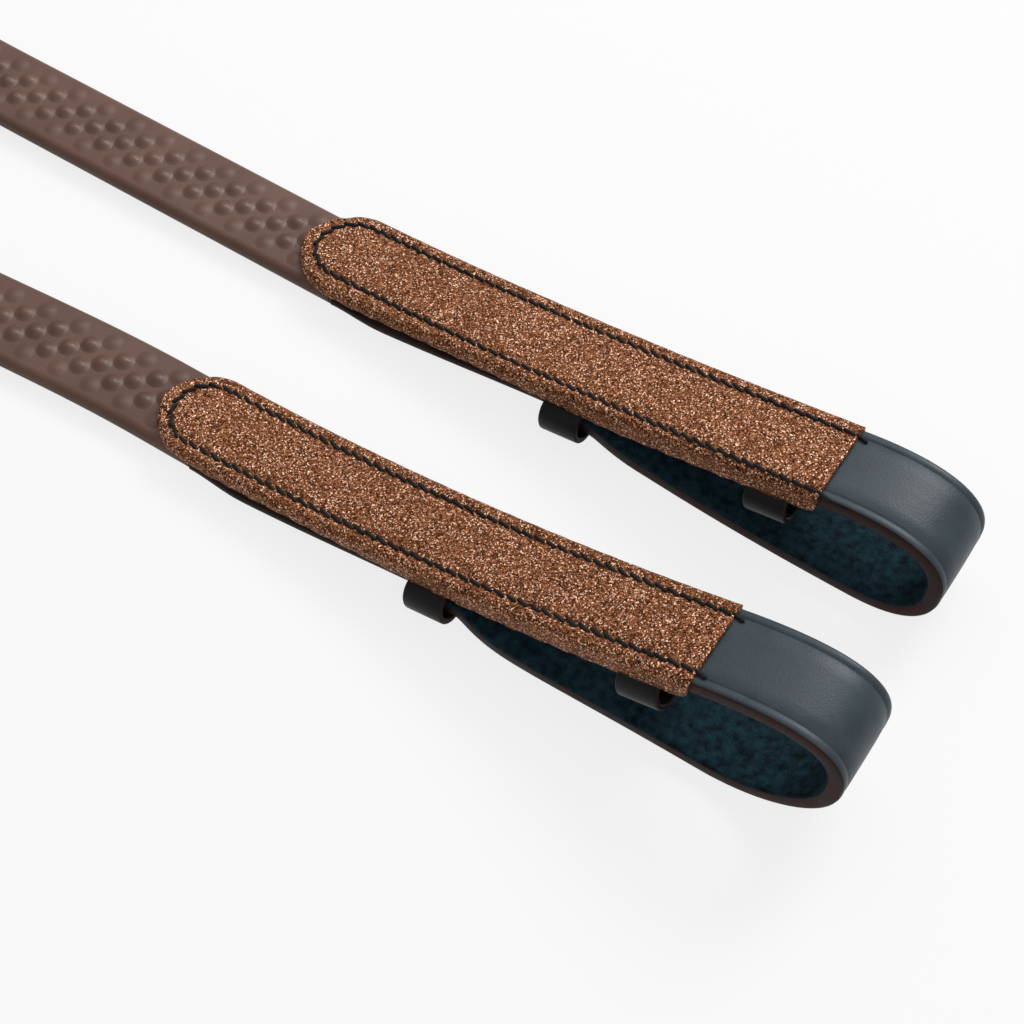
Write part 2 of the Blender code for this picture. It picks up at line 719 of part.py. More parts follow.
def bar_place(seat):
    """The buckle bar's axis, set just past the strap's end so that its eye hangs on it."""
    return seat @ Matrix.Translation((EYE_RADIUS - 1.2 * MM, 0, 0))


# Centre buckle and tie

def buckle(route):
    """Frame and tongue, both turning on the bar at the right rein's inner end."""
    pivot = bpy.data.objects.new("buckle_bar", None)
    PARTS.objects.link(pivot)
    pivot.parent = LAYOUT
    pivot.matrix_local = bar_place(end_frame(route))
    corner = 1.5 * MM
    outline = []
    corners_of_frame = (
        (BUCKLE_REACH, FRAME_HALF, 90),
        (BUCKLE_REACH, -FRAME_HALF, 0),
        (0, -FRAME_HALF, -90),
        (0, FRAME_HALF, 180),
    )
    for cx, cz, first in corners_of_frame:
        sx = -1 if cx else 1
        sz = -1 if cz > 0 else 1
        for i in range(4):
            angle = math.radians(first - 30 * i)
            x = cx + sx * corner + corner * math.cos(angle)
            outline.append((x, cz + sz * corner + corner * math.sin(angle)))
    frame = bpy.data.curves.new("frame", "CURVE")
    frame.dimensions = "3D"
    frame.bevel_depth = BUCKLE_WIRE_RADIUS
    frame.bevel_resolution = 2
    spline = frame.splines.new("POLY")
    spline.points.add(len(outline) - 1)
    for point, (x, z) in zip(spline.points, outline):
        point.co = (x, 0, z, 1)
    spline.use_cyclic_u = True
    place(curve_to_mesh(bpy.data.objects.new("frame", frame)), "buckle_frame", STEEL, pivot)
    place(tongue(), "buckle_tongue", STEEL, pivot)


def tongue():
    """A ring round the bar with a straight prong that rests on the frame's front bar."""
    ring_wall = 1.1 * MM
    inner = BUCKLE_WIRE_RADIUS + 0.08 * MM
    outer = inner + ring_wall
    half = TONGUE_SLOT_HALF - FIT
    made = cylinder("tongue", outer, 2 * half, Matrix.Identity(4), 24)
    rise = BUCKLE_WIRE_RADIUS + FIT + TONGUE_RADIUS
    prong_start = Vector((0.6 * outer, -0.45 * rise, 0))
    prong_end = Vector((BUCKLE_REACH + BUCKLE_WIRE_RADIUS + 0.6 * MM, -rise, 0))
    along = prong_end - prong_start
    turn = along.to_track_quat("Z", "Y").to_matrix().to_4x4()
    prong = cylinder(
        "prong", TONGUE_RADIUS, along.length, Matrix.Translation((prong_start + prong_end) / 2) @ turn, 12
    )
    made = boolean(made, prong, "UNION")
    hole = cylinder("tongue_hole", inner, 4 * half, Matrix.Identity(4), 24)
    return boolean(made, hole, "DIFFERENCE")


def roll_tie(routes):
    """A flat band round every layer of the roll, an angle past the place where the buckle end leaves it."""
    centre = roll_centre()
    leaves = routes["right"][-INNER_BEND_STEPS - 2][0] - centre
    tie_angle = math.atan2(leaves.y, leaves.x) + TIE_PAST_BEND
    direction = Vector((math.cos(tie_angle), math.sin(tie_angle)))
    turns = routes["left"], routes["right"][:-INNER_BEND_STEPS - 1]
    crossings = []
    for route in turns:
        for (a, roll), (b, _) in zip(route, route[1:]):
            mid = (a + b) / 2 - centre
            if roll > 1.57 and abs(mid.normalized().angle_signed(direction)) < ROLL_STEP / 2 + 0.01:
                crossings.append(mid.length)
    low = min(crossings) - HAND_THICKNESS / 2 - LAYER_GAP
    high = max(crossings) + GRIP_THICKNESS / 2 + LAYER_GAP
    half_height = GRIP_WIDTH / 2 + FIT
    inner = [(low, -half_height), (high, -half_height), (high, half_height), (low, half_height)]
    wall = TIE_WALL
    tall = half_height + wall
    outer = [(low - wall, -tall), (high + wall, -tall), (high + wall, tall), (low - wall, tall)]
    spin = Matrix.Rotation(tie_angle, 4, "Z")
    where = Matrix.Translation((centre.x, centre.y, ROLL_HEIGHT)) @ spin @ UPRIGHT
    return prism("tie", [outer, inner], TIE_WIDTH / 2, where)


for rein_name, rein_values in REINS.items():
    bit_end(rein_name, rein_values)
strap_routes = {rein_name: straps(rein_name, rein_values) for rein_name, rein_values in REINS.items()}
buckle(strap_routes["right"])
place(roll_tie(strap_routes), "roll_tie", BLACK_LEATHER)
print("least gap between layers of the roll, mm:", round(least_gap(strap_routes.values()) / MM, 2))

# The layout's origin is the middle of the whole object's footprint, on the resting surface.
bpy.context.view_layer.update()
corners = [obj.matrix_world @ Vector(c) for obj in PARTS.objects if obj.type == "MESH" for c in obj.bound_box]
LAYOUT.location.x = -(max(c.x for c in corners) + min(c.x for c in corners)) / 2
LAYOUT.location.y = -(max(c.y for c in corners) + min(c.y for c in corners)) / 2
bpy.context.view_layer.update()
for name in ("left_lift", "right_lift", "buckle_bar"):
    print(name, [round(v / MM, 3) for v in bpy.data.objects[name].matrix_world.translation])
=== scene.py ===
"""A pair of leather riding reins, laid out on a pale table as they come off the bench.

The two bit ends lie side by side. Behind them the rubber grips turn on edge and the rest is rolled up.
"""

import json
import math

import bmesh
import bpy
from mathutils import Matrix, Vector


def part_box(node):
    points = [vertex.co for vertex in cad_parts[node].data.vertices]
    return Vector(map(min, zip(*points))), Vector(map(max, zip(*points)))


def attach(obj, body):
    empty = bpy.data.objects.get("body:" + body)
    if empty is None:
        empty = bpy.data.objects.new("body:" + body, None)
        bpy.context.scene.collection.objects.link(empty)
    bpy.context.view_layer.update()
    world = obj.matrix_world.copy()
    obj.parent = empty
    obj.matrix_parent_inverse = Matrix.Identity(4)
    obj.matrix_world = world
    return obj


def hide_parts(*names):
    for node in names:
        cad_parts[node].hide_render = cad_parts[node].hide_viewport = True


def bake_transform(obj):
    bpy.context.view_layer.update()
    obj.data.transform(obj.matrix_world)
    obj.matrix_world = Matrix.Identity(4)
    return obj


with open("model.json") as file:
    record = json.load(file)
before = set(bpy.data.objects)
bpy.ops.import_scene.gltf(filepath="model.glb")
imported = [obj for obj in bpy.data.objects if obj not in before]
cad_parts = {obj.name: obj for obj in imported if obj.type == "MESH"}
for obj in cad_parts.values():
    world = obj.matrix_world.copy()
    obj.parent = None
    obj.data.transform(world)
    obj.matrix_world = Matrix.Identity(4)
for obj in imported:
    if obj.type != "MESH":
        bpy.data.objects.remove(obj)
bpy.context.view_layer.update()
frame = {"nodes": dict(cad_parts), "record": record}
scene = bpy.context.scene
scene.view_settings.view_transform = "Standard"


# Table, light and camera
# The reins lie on a plain white table under a broad soft lamp, seen from above the right rein.

MM = 0.001
VIEW_TURN = 0.58
VIEW_HEIGHT = math.radians(58.4)
VIEW_DISTANCE = 0.435
VIEW_TARGET = Vector((0.1599, 0.0466, 0))
FOCAL_PIXELS = 2011
FRAME_PIXELS = 1024
SENSOR_WIDTH = 36
TABLE_GLOW = 0.8
TABLE_REACH = 6


def linked(name, data):
    """A new object with that data, in the scene."""
    made = bpy.data.objects.new(name, data)
    scene.collection.objects.link(made)
    return made


def aimed(made, place, aim):
    """Puts a camera or a lamp in its place and points it."""
    made.location = place
    made.rotation_euler = (Vector(aim) - Vector(place)).to_track_quat("-Z", "Y").to_euler()


camera_data = bpy.data.cameras.new("camera")
camera_data.sensor_width = SENSOR_WIDTH
camera_data.lens = FOCAL_PIXELS / FRAME_PIXELS * SENSOR_WIDTH
camera_data.clip_start = 10 * MM
scene.camera = linked("camera", camera_data)
level = VIEW_DISTANCE * math.cos(VIEW_HEIGHT)
height = VIEW_DISTANCE * math.sin(VIEW_HEIGHT)
view_from = Vector((level * math.sin(VIEW_TURN), -level * math.cos(VIEW_TURN), height))
aimed(scene.camera, VIEW_TARGET + view_from, VIEW_TARGET)


def lamp(name, place, aim, size, watts):
    data = bpy.data.lights.new(name, "AREA")
    data.shape = "DISK"
    data.size = size
    data.energy = watts
    aimed(linked(name, data), place, aim)


lamp("broad_lamp", (0.3, 0.95, 0.9), (0.05, 0.05, 0), 0.6, 15)
lamp("back_lamp", (-0.25, 0.55, 1.1), (0.12, 0.05, 0), 0.9, 4.5)
lamp("front_lamp", (0.75, -0.45, 0.8), (0.12, 0.05, 0), 0.7, 2)

world = bpy.data.worlds.new("studio")
world.use_nodes = True
background = world.node_tree.nodes["Background"]
background.inputs["Color"].default_value = (1, 1, 1, 1)
background.inputs["Strength"].default_value = 0.5
scene.world = world


class Tree:
    """A node tree, with short calls for its nodes and links."""

    def __init__(self, tree):
        self.nodes = tree.nodes
        self.links = tree.links

    def add(self, kind, **values):
        node = self.nodes.new(kind)
        for key, value in values.items():
            if hasattr(node, key):
                setattr(node, key, value)
            else:
                node.inputs[key.replace("_", " ")].default_value = value
        return node

    def link(self, out, into):
        self.links.new(out, into)

    def feed(self, node, *values):
        """Fills a node's inputs in order, from numbers or other outputs, and returns its first output."""
        for socket, value in zip(node.inputs, values):
            if isinstance(value, bpy.types.NodeSocket):
                self.link(value, socket)
            else:
                socket.default_value = value
        return node.outputs[0]

    def math(self, operation, *values):
        return self.feed(self.add("ShaderNodeMath", operation=operation), *values)

    def xyz(self, *values):
        return self.feed(self.add("ShaderNodeCombineXYZ"), *values)


class Finish(Tree):
    """A material's node tree."""

    def __init__(self, name):
        self.material = bpy.data.materials.new(name)
        self.material.use_nodes = True
        super().__init__(self.material.node_tree)
        self.shader = self.nodes["Principled BSDF"]

    def set(self, **values):
        for key, value in values.items():
            socket = self.shader.inputs[key.replace("_", " ")]
            if isinstance(value, bpy.types.NodeSocket):
                self.link(value, socket)
            else:
                socket.default_value = value


def table_finish():
    finish = Finish("white_table")
    finish.set(Base_Color=(0.55, 0.55, 0.55, 1), Roughness=0.9)
    path = finish.add("ShaderNodeLightPath")
    seen = finish.math("MAXIMUM", path.outputs["Is Camera Ray"], path.outputs["Is Glossy Ray"])
    glow = finish.add("ShaderNodeEmission", Strength=1.0)
    mix = finish.add("ShaderNodeMixShader")
    shown = finish.feed(mix, finish.math("MULTIPLY", seen, TABLE_GLOW), finish.shader.outputs[0], glow.outputs[0])
    finish.link(shown, finish.nodes["Material Output"].inputs["Surface"])
    return finish.material


corners = [(x * TABLE_REACH, y * TABLE_REACH, 0) for x, y in ((-1, -1), (1, -1), (1, 1), (-1, 1))]
table_mesh = bpy.data.meshes.new("table")
table_mesh.from_pydata(corners, [], [(0, 1, 2, 3)])
table_mesh.materials.append(table_finish())
table = linked("table", table_mesh)


# Rubber grips
# Each rein's strap is covered with brown moulded rubber: smooth rounded edges, and rows of low pimples on both
# faces. It lies flat behind the billet, turns on edge, and is rolled up with its neighbour.

OVERLAY_LENGTH = 137 * MM
GRIP_WIDTH = 21.2 * MM
GRIP_THICKNESS = 6.5 * MM
GRIP_LENGTH = 762 * MM
GRIP_ROOT = 30 * MM
GRIP_UNDER_OVERLAY = 13 * MM
FLAT_RUN = 95 * MM
TWIST_RUN = 150 * MM
TWIST_DONE = 0.65
HAND_LENGTH = 430 * MM
INNER_BEND_RADIUS = 25 * MM
INNER_BEND_ANGLE = math.radians(120)
INNER_STRAIGHT = 26 * MM
ROLL_CORE_RADIUS = 50 * MM
ROLL_LANE_Y = 30 * MM
LAYER_PITCH = 7.9 * MM
ROLL_LIFT = 1.3 * MM
PIMPLE_ROWS = (-6 * MM, -3 * MM, 0.0, 3 * MM, 6 * MM)
PIMPLE_PERIOD = 9.1 * MM
PIMPLE_SHIFT = 3.95 * MM
PIMPLE_START = 1.5 * MM
PIMPLE_END_GAP = 8 * MM
PIMPLE_RADIUS = 2.55 * MM
PIMPLE_HEIGHT = 1.1 * MM
PIMPLE_BELL = 1.7
OUTER_ROW_SWELL = 0.45
RUBBER_CORNER = 2.2 * MM
RING_SPACING = 3 * MM
ROUTE_SPARE = 10 * MM

bend_length = INNER_BEND_RADIUS * INNER_BEND_ANGLE
rolled = GRIP_LENGTH + HAND_LENGTH - FLAT_RUN - TWIST_RUN - bend_length - INNER_STRAIGHT
ROLL_RADIUS = LAYER_PITCH + math.sqrt(ROLL_CORE_RADIUS**2 + 2 * rolled * LAYER_PITCH / math.pi)

lifts = {joint["name"]: Vector(joint["pos_m"]) for joint in frame["record"]["behaviour"]["joints"]}

# Where the two reins differ: the layer in the roll, the sideways drift of the grip, how the billet rises, how much
# wider the overlay is at its rear, the slant of its near seam, the loop's sizes and the tail's sideways slides.
REINS = {
    "left": {
        "lift": lifts["left_bit_end_lift"],
        "layer": 0,
        "drift": 0,
        "rise_power": 1.5,
        "flare": 2.3 * MM,
        "near_flare": 0.5 * MM,
        "seam_slant": (1.2 * MM, -2.2 * MM),
        "loop_top": 27.3 * MM,
        "loop_reach": 30.3 * MM,
        "loop_nose": 14.5 * MM,
        "loop_floor": 12 * MM,
        "slides": (1.2 * MM, 2.2 * MM, 1.5 * MM, 0.3 * MM),
    },
    "right": {
        "lift": lifts["right_bit_end_lift"],
        "layer": 1,
        "drift": -5 * MM,
        "rise_power": 1.9,
        "flare": 0.8 * MM,
        "near_flare": 0.4 * MM,
        "seam_slant": (-0.4 * MM, 0.0),
        "loop_top": 32.8 * MM,
        "loop_reach": 34 * MM,
        "loop_nose": 23 * MM,
        "loop_floor": 5 * MM,
        "slides": (0.6 * MM, 0.9 * MM, 2.3 * MM, 0.7 * MM),
    },
}
middle = (REINS["left"]["lift"] + REINS["right"]["lift"]) / 2
ROLL_CENTRE = Vector((middle.x - FLAT_RUN - TWIST_RUN, middle.y + ROLL_LANE_Y - ROLL_RADIUS))


def ease(share):
    share = min(1, max(0, share))
    return share * share * (3 - 2 * share)


def roll_point(rein, turned):
    """A plan point of the roll, an angle after the strap has entered it."""
    radius = ROLL_RADIUS - rein["layer"] * LAYER_PITCH - 2 * LAYER_PITCH * turned / (2 * math.pi)
    angle = math.pi / 2 + turned
    return ROLL_CENTRE + radius * Vector((math.cos(angle), math.sin(angle)))


def strap_route(rein, length):
    """Plan points and rolls of one strap from the billet inwards, close together."""
    start = rein["lift"].xy
    entry = roll_point(rein, 0)
    flat = start.x - FLAT_RUN
    lane = start.y + rein["drift"]
    route = []
    for i in range(31):
        share = i / 30
        route.append((Vector((start.x - FLAT_RUN * share, start.y + rein["drift"] * ease(share))), 0.0))
    for i in range(1, 51):
        share = i / 50
        y = lane + (entry.y - lane) * ease(share)
        route.append((Vector((flat + (entry.x - flat) * share, y)), math.pi / 2 * ease(share / TWIST_DONE)))
    walked = sum((b[0] - a[0]).length for a, b in zip(route, route[1:]))
    turned = 0.0
    while walked < length:
        turned += math.radians(4)
        point = roll_point(rein, turned)
        walked += (point - route[-1][0]).length
        route.append((point, math.pi / 2))
    return route


def route_frames(route):
    """Each place of a route as its distance, centre, direction along, across and outward."""
    frames = []
    walked = 0.0
    for i, (point, roll) in enumerate(route):
        if i:
            walked += (point - route[i - 1][0]).length
        along = (route[min(i + 1, len(route) - 1)][0] - route[max(i - 1, 0)][0]).normalized()
        side = Vector((-along.y, along.x, 0))
        up = Vector((0, 0, 1))
        across = side * math.cos(roll) + up * math.sin(roll)
        outward = up * math.cos(roll) - side * math.sin(roll)
        height = GRIP_WIDTH / 2 * math.sin(roll) + GRIP_THICKNESS / 2 * math.cos(roll)
        height += ROLL_LIFT * ease(roll / (math.pi / 2))
        frames.append((walked, Vector((point.x, point.y, height)), along.to_3d(), across, outward))
    return frames


def frame_at(frames, distance):
    """The place at a distance along a route; before its start the route runs on straight."""
    if distance <= 0:
        _, centre, along, across, outward = frames[0]
        return centre + along * distance, along, across, outward
    for a, b in zip(frames, frames[1:]):
        if b[0] >= distance:
            share = (distance - a[0]) / (b[0] - a[0])
            middles = [a[n].lerp(b[n], share) for n in (1, 2, 3, 4)]
            return middles[:1] + [direction.normalized() for direction in middles[1:]]
    return list(frames[-1][1:])


def rounded_section(width, thickness, radius, steps):
    """A strap's section with round corners, as (across, outward) pairs."""
    points = []
    for sx, sy, first in ((1, 1, 0), (-1, 1, 90), (-1, -1, 180), (1, -1, 270)):
        for i in range(steps + 1):
            angle = math.radians(first + 90 * i / steps)
            x = sx * (width / 2 - radius) + radius * math.cos(angle)
            points.append((x, sy * (thickness / 2 - radius) + radius * math.sin(angle)))
    return points


def mesh_of(name, shape):
    """Turns an edited shape into a mesh."""
    mesh = bpy.data.meshes.new(name)
    shape.to_mesh(mesh)
    shape.free()
    return mesh


def skin_rings(name, rings, closed=False, paint=None):
    """A mesh object over rings of points. Closed rings meet; otherwise both ends are capped."""
    shape = bmesh.new()
    made = [[shape.verts.new(p) for p in ring] for ring in rings]
    count = len(rings[0])
    pairs = list(zip(made, made[1:] + made[:1])) if closed else list(zip(made, made[1:]))
    for a, b in pairs:
        for i in range(count):
            j = (i + 1) % count
            face = shape.faces.new((a[i], a[j], b[j], b[i]))
            face.material_index = paint[i] if paint else 0
            face.smooth = True
    if not closed:
        for ring in (made[0], made[-1]):
            cap = shape.faces.new(ring)
            cap.material_index = paint[0] if paint else 0
    bmesh.ops.recalc_face_normals(shape, faces=shape.faces)
    mesh = mesh_of(name, shape)
    mesh.set_sharp_from_angle(angle=math.radians(50))
    return linked(name, mesh)


def scatter_tree(name, sizes, direction, axis):
    """Starts a geometry tree that stands one shape on each point, turned to a direction which the point holds.

    Returns the group, its tree, its inputs, the node that forms the shape and the node that copies it.
    """
    group = bpy.data.node_groups.new(name, "GeometryNodeTree")
    face = group.interface
    face.new_socket("Points", in_out="INPUT", socket_type="NodeSocketGeometry")
    for label, value in sizes.items():
        face.new_socket(label, in_out="INPUT", socket_type="NodeSocketFloat").default_value = value
    face.new_socket("Finish", in_out="INPUT", socket_type="NodeSocketMaterial")
    face.new_socket(name.capitalize(), in_out="OUTPUT", socket_type="NodeSocketGeometry")
    tree = Tree(group)
    given = tree.add("NodeGroupInput")
    held = tree.add("GeometryNodeInputNamedAttribute", data_type="FLOAT_VECTOR", Name=direction)
    turn = tree.add("FunctionNodeAlignRotationToVector", axis=axis)
    form = tree.add("GeometryNodeSetPosition")
    stand = tree.add("GeometryNodeInstanceOnPoints")
    real = tree.add("GeometryNodeRealizeInstances")
    smooth = tree.add("GeometryNodeSetShadeSmooth")
    finish = tree.add("GeometryNodeSetMaterial")
    result = tree.add("NodeGroupOutput")
    tree.link(held.outputs[0], turn.inputs["Vector"])
    tree.link(given.outputs["Points"], stand.inputs["Points"])
    tree.link(form.outputs[0], stand.inputs["Instance"])
    tree.link(turn.outputs[0], stand.inputs["Rotation"])
    tree.link(stand.outputs[0], real.inputs[0])
    tree.link(real.outputs[0], smooth.inputs[0])
    tree.link(smooth.outputs[0], finish.inputs["Geometry"])
    tree.link(given.outputs["Finish"], finish.inputs["Material"])
    tree.link(finish.outputs[0], result.inputs[0])
    return group, tree, given, form, stand


def pimple_tree():
    """Geometry nodes: a low round bump on each point, standing along the point's own direction."""
    sizes = {"Radius": PIMPLE_RADIUS, "Height": PIMPLE_HEIGHT}
    group, tree, given, form, stand = scatter_tree("pimples", sizes, "facing", "Z")
    cone = tree.add("GeometryNodeMeshCone", fill_type="NONE", Vertices=14, Side_Segments=6)
    cone.inputs["Radius Top"].default_value = 0
    cone.inputs["Radius Bottom"].default_value = 1
    apart = tree.add("ShaderNodeSeparateXYZ")
    tree.feed(apart, tree.add("GeometryNodeInputPosition").outputs[0])
    x, y = apart.outputs["X"], apart.outputs["Y"]
    out_by = tree.add("ShaderNodeVectorMath", operation="LENGTH")
    tree.feed(out_by, tree.xyz(x, y))
    rise = tree.math("SUBTRACT", 1, tree.math("POWER", out_by.outputs["Value"], 2))
    tree.link(cone.outputs["Mesh"], form.inputs["Geometry"])
    tree.link(tree.xyz(x, y, tree.math("POWER", rise, PIMPLE_BELL)), form.inputs["Position"])
    swell = tree.add("GeometryNodeInputNamedAttribute", data_type="FLOAT", Name="swell")
    tall = tree.math("MULTIPLY", given.outputs["Height"], swell.outputs[0])
    radius = given.outputs["Radius"]
    tree.link(tree.xyz(radius, radius, tall), stand.inputs["Scale"])
    return group


def nodes_result(name, points, attributes, tree, inputs):
    """Runs a geometry tree on loose points with their attributes, and returns the mesh it makes."""
    mesh = bpy.data.meshes.new(name)
    mesh.from_pydata([tuple(p) for p in points], [], [])
    for label, kind, values in attributes:
        layer = mesh.attributes.new(label, kind, "POINT")
        field = "vector" if kind == "FLOAT_VECTOR" else "value"
        layer.data.foreach_set(field, [v for value in values for v in (value if field == "vector" else (value,))])
    carrier = linked(name, mesh)
    modifier = carrier.modifiers.new("nodes", "NODES")
    modifier.node_group = tree
    for item in tree.interface.items_tree:
        if item.in_out == "INPUT" and item.name in inputs:
            modifier[item.identifier] = inputs[item.name]
    graph = bpy.context.evaluated_depsgraph_get()
    made = bpy.data.meshes.new_from_object(carrier.evaluated_get(graph))
    bpy.data.objects.remove(carrier)
    return made


def add_mesh(piece, mesh):
    """Joins a mesh of the same finish into a piece."""
    shape = bmesh.new()
    shape.from_mesh(piece.data)
    shape.from_mesh(mesh)
    shape.to_mesh(piece.data)
    shape.free()


def noise_value(finish, scale, detail=3):
    """A noise on object coordinates; returns its value output."""
    place = finish.add("ShaderNodeTexCoord")
    noise = finish.add("ShaderNodeTexNoise", Scale=scale, Detail=detail)
    finish.link(place.outputs["Object"], noise.inputs["Vector"])
    return noise.outputs["Fac"]


def ramp(finish, value, stops):
    """Colours, or plain shades, along a value."""
    node = finish.add("ShaderNodeValToRGB")
    while len(node.color_ramp.elements) < len(stops):
        node.color_ramp.elements.new(0.5)
    for element, (position, colour) in zip(node.color_ramp.elements, stops):
        element.position = position
        element.color = (*colour, 1) if isinstance(colour, tuple) else (colour, colour, colour, 1)
    finish.link(value, node.inputs["Fac"])
    return node.outputs["Color"]


def bump(finish, value, strength, distance):
    node = finish.add("ShaderNodeBump", Strength=strength, Distance=distance)
    finish.link(value, node.inputs["Height"])
    finish.set(Normal=node.outputs["Normal"])


def rubber_finish():
    finish = Finish("brown_rubber")
    cloud = noise_value(finish, 60)
    finish.set(Base_Color=ramp(finish, cloud, ((0.3, (0.072, 0.034, 0.023)), (0.7, (0.099, 0.049, 0.034)))))
    fine = noise_value(finish, 2600, 2)
    finish.set(Roughness=ramp(finish, fine, ((0.3, 0.42), (0.7, 0.56))))
    bump(finish, fine, 0.2, 0.0002)
    finish.set(Specular_IOR_Level=0.35)
    return finish.material


RUBBER = rubber_finish()
PIMPLES = pimple_tree()


def pimpled_rubber(name, frames, start, end):
    """The rubber cover of one stretch of strap, with its pimples."""
    body = GRIP_THICKNESS - 2 * PIMPLE_HEIGHT
    section = rounded_section(GRIP_WIDTH, body, RUBBER_CORNER, 5)
    count = max(2, round((end - start) / RING_SPACING))
    rings = []
    path = []
    for i in range(count + 1):
        centre, along, across, outward = frame_at(frames, start + (end - start) * i / count)
        rings.append([centre + across * x + outward * y for x, y in section])
        path.append(tuple(centre))
    piece = skin_rings(name, rings)
    piece.data.materials.append(RUBBER)
    points, facing, swell = [], [], []
    for row, offset in enumerate(PIMPLE_ROWS):
        shift = PIMPLE_START + row * PIMPLE_SHIFT
        first = math.ceil((start - shift) / PIMPLE_PERIOD)
        last = math.floor((min(end, GRIP_LENGTH - PIMPLE_END_GAP) - shift) / PIMPLE_PERIOD)
        for k in range(first, last + 1):
            distance = k * PIMPLE_PERIOD + shift
            if not start <= distance < end:
                continue
            centre, along, across, outward = frame_at(frames, distance)
            for side in (1, -1):
                points.append(centre + across * offset + outward * side * (body / 2 - 0.02 * MM))
                facing.append(tuple(outward * side))
                swell.append(OUTER_ROW_SWELL if row in (0, len(PIMPLE_ROWS) - 1) else 1.0)
    attributes = (("facing", "FLOAT_VECTOR", facing), ("swell", "FLOAT", swell))
    add_mesh(piece, nodes_result("pimple_points", points, attributes, PIMPLES, {"Finish": RUBBER}))
    return piece, path


routes = {}
for name, rein in REINS.items():
    routes[name] = route_frames(strap_route(rein, GRIP_LENGTH + HAND_LENGTH + ROUTE_SPARE))
    grip, path = pimpled_rubber(f"{name}_grip", routes[name], GRIP_ROOT, GRIP_LENGTH)
    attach(grip, "straps")
    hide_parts(f"{name}_grip_rubber", f"{name}_grip_core")
    root, _ = pimpled_rubber(f"{name}_grip_root", routes[name], -GRIP_UNDER_OVERLAY, GRIP_ROOT)
    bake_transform(root)


# Hand straps
# Plain black bridle leather between the rubber and the centre buckle, with rounded edges and an inked cut edge.
# The left one ends in a point with buckle holes; the right one is turned back round the buckle's bar.

HAND_WIDTH = 16 * MM
HAND_THICKNESS = 3.5 * MM
HAND_CREASE = 0.2 * MM
JOIN_GAP = 0.3 * MM
POINT_LENGTH = 14 * MM
POINT_WIDTH = 0.22
FIRST_HOLE_FROM_TIP = 35 * MM
HOLE_COUNT = 4
HOLE_PITCH = 20 * MM
HOLE_RADIUS = 1.8 * MM
CHAPE_RETURN = 24 * MM
WRAP_WALL = 2.0 * MM
WRAP_RADIUS = 2.6 * MM
WRAP_TURN = 205
TONGUE_SLOT = (11 * MM, 12 * MM, 4 * MM, 1)


def grain_group():
    """Shared leather grain: fine pebbles with a slow mottle, as a height, a roughness and a shade."""
    group = bpy.data.node_groups.new("leather_grain", "ShaderNodeTree")
    for label in ("Pebble Scale", "Mottle Scale", "Dull", "Bright"):
        group.interface.new_socket(label, in_out="INPUT", socket_type="NodeSocketFloat")
    for label in ("Height", "Roughness", "Shade"):
        group.interface.new_socket(label, in_out="OUTPUT", socket_type="NodeSocketFloat")
    tree = Tree(group)
    given = tree.add("NodeGroupInput")
    result = tree.add("NodeGroupOutput")
    place = tree.add("ShaderNodeTexCoord")
    pebbles = tree.add("ShaderNodeTexVoronoi")
    mottle = tree.add("ShaderNodeTexNoise", Detail=4)
    for texture, scale in ((pebbles, "Pebble Scale"), (mottle, "Mottle Scale")):
        tree.link(place.outputs["Object"], texture.inputs["Vector"])
        tree.link(given.outputs[scale], texture.inputs["Scale"])
    spread = tree.add("ShaderNodeMapRange", From_Min=0.3, From_Max=0.7)
    tree.link(mottle.outputs["Fac"], spread.inputs["Value"])
    tree.link(given.outputs["Bright"], spread.inputs["To Min"])
    tree.link(given.outputs["Dull"], spread.inputs["To Max"])
    height = tree.math("MULTIPLY_ADD", pebbles.outputs["Distance"], 0.6, mottle.outputs["Fac"])
    tree.link(height, result.inputs["Height"])
    tree.link(spread.outputs["Result"], result.inputs["Roughness"])
    tree.link(mottle.outputs["Fac"], result.inputs["Shade"])
    return group


GRAIN = grain_group()


def leather_finish(name, dark, light, roughness, pebble, depth, gloss=0.25, mottle=180):
    """A leather whose colour, gloss and grain come from the shared group."""
    finish = Finish(name)
    grain = finish.add("ShaderNodeGroup", node_tree=GRAIN, Pebble_Scale=pebble, Mottle_Scale=mottle)
    grain.inputs["Bright"].default_value, grain.inputs["Dull"].default_value = roughness
    finish.set(Base_Color=ramp(finish, grain.outputs["Shade"], ((0.3, dark), (0.7, light))))
    finish.set(Roughness=grain.outputs["Roughness"], Specular_IOR_Level=gloss)
    bump(finish, grain.outputs["Height"], 0.3, depth)
    return finish.material


BLACK_GRAIN = leather_finish(
    "black_bridle_leather",
    dark=(0.02, 0.029, 0.037),
    light=(0.028, 0.04, 0.049),
    roughness=(0.4, 0.5),
    pebble=1700,
    depth=0.00012,
)
CUT_EDGE = leather_finish(
    "inked_cut_edge",
    dark=(0.006, 0.004, 0.004),
    light=(0.036, 0.012, 0.009),
    roughness=(0.5, 0.7),
    pebble=2600,
    depth=0.0002,
    gloss=0.12,
)
SUEDE = leather_finish(
    "blue_green_flesh_side",
    dark=(0.0015, 0.0055, 0.008),
    light=(0.0105, 0.031, 0.043),
    roughness=(0.85, 0.95),
    pebble=2200,
    depth=0.0012,
    gloss=0.08,
    mottle=520,
)
BROWN_LEATHER = leather_finish(
    "brown_backing_leather",
    dark=(0.014, 0.008, 0.006),
    light=(0.032, 0.017, 0.012),
    roughness=(0.55, 0.7),
    pebble=1500,
    depth=0.0003,
)


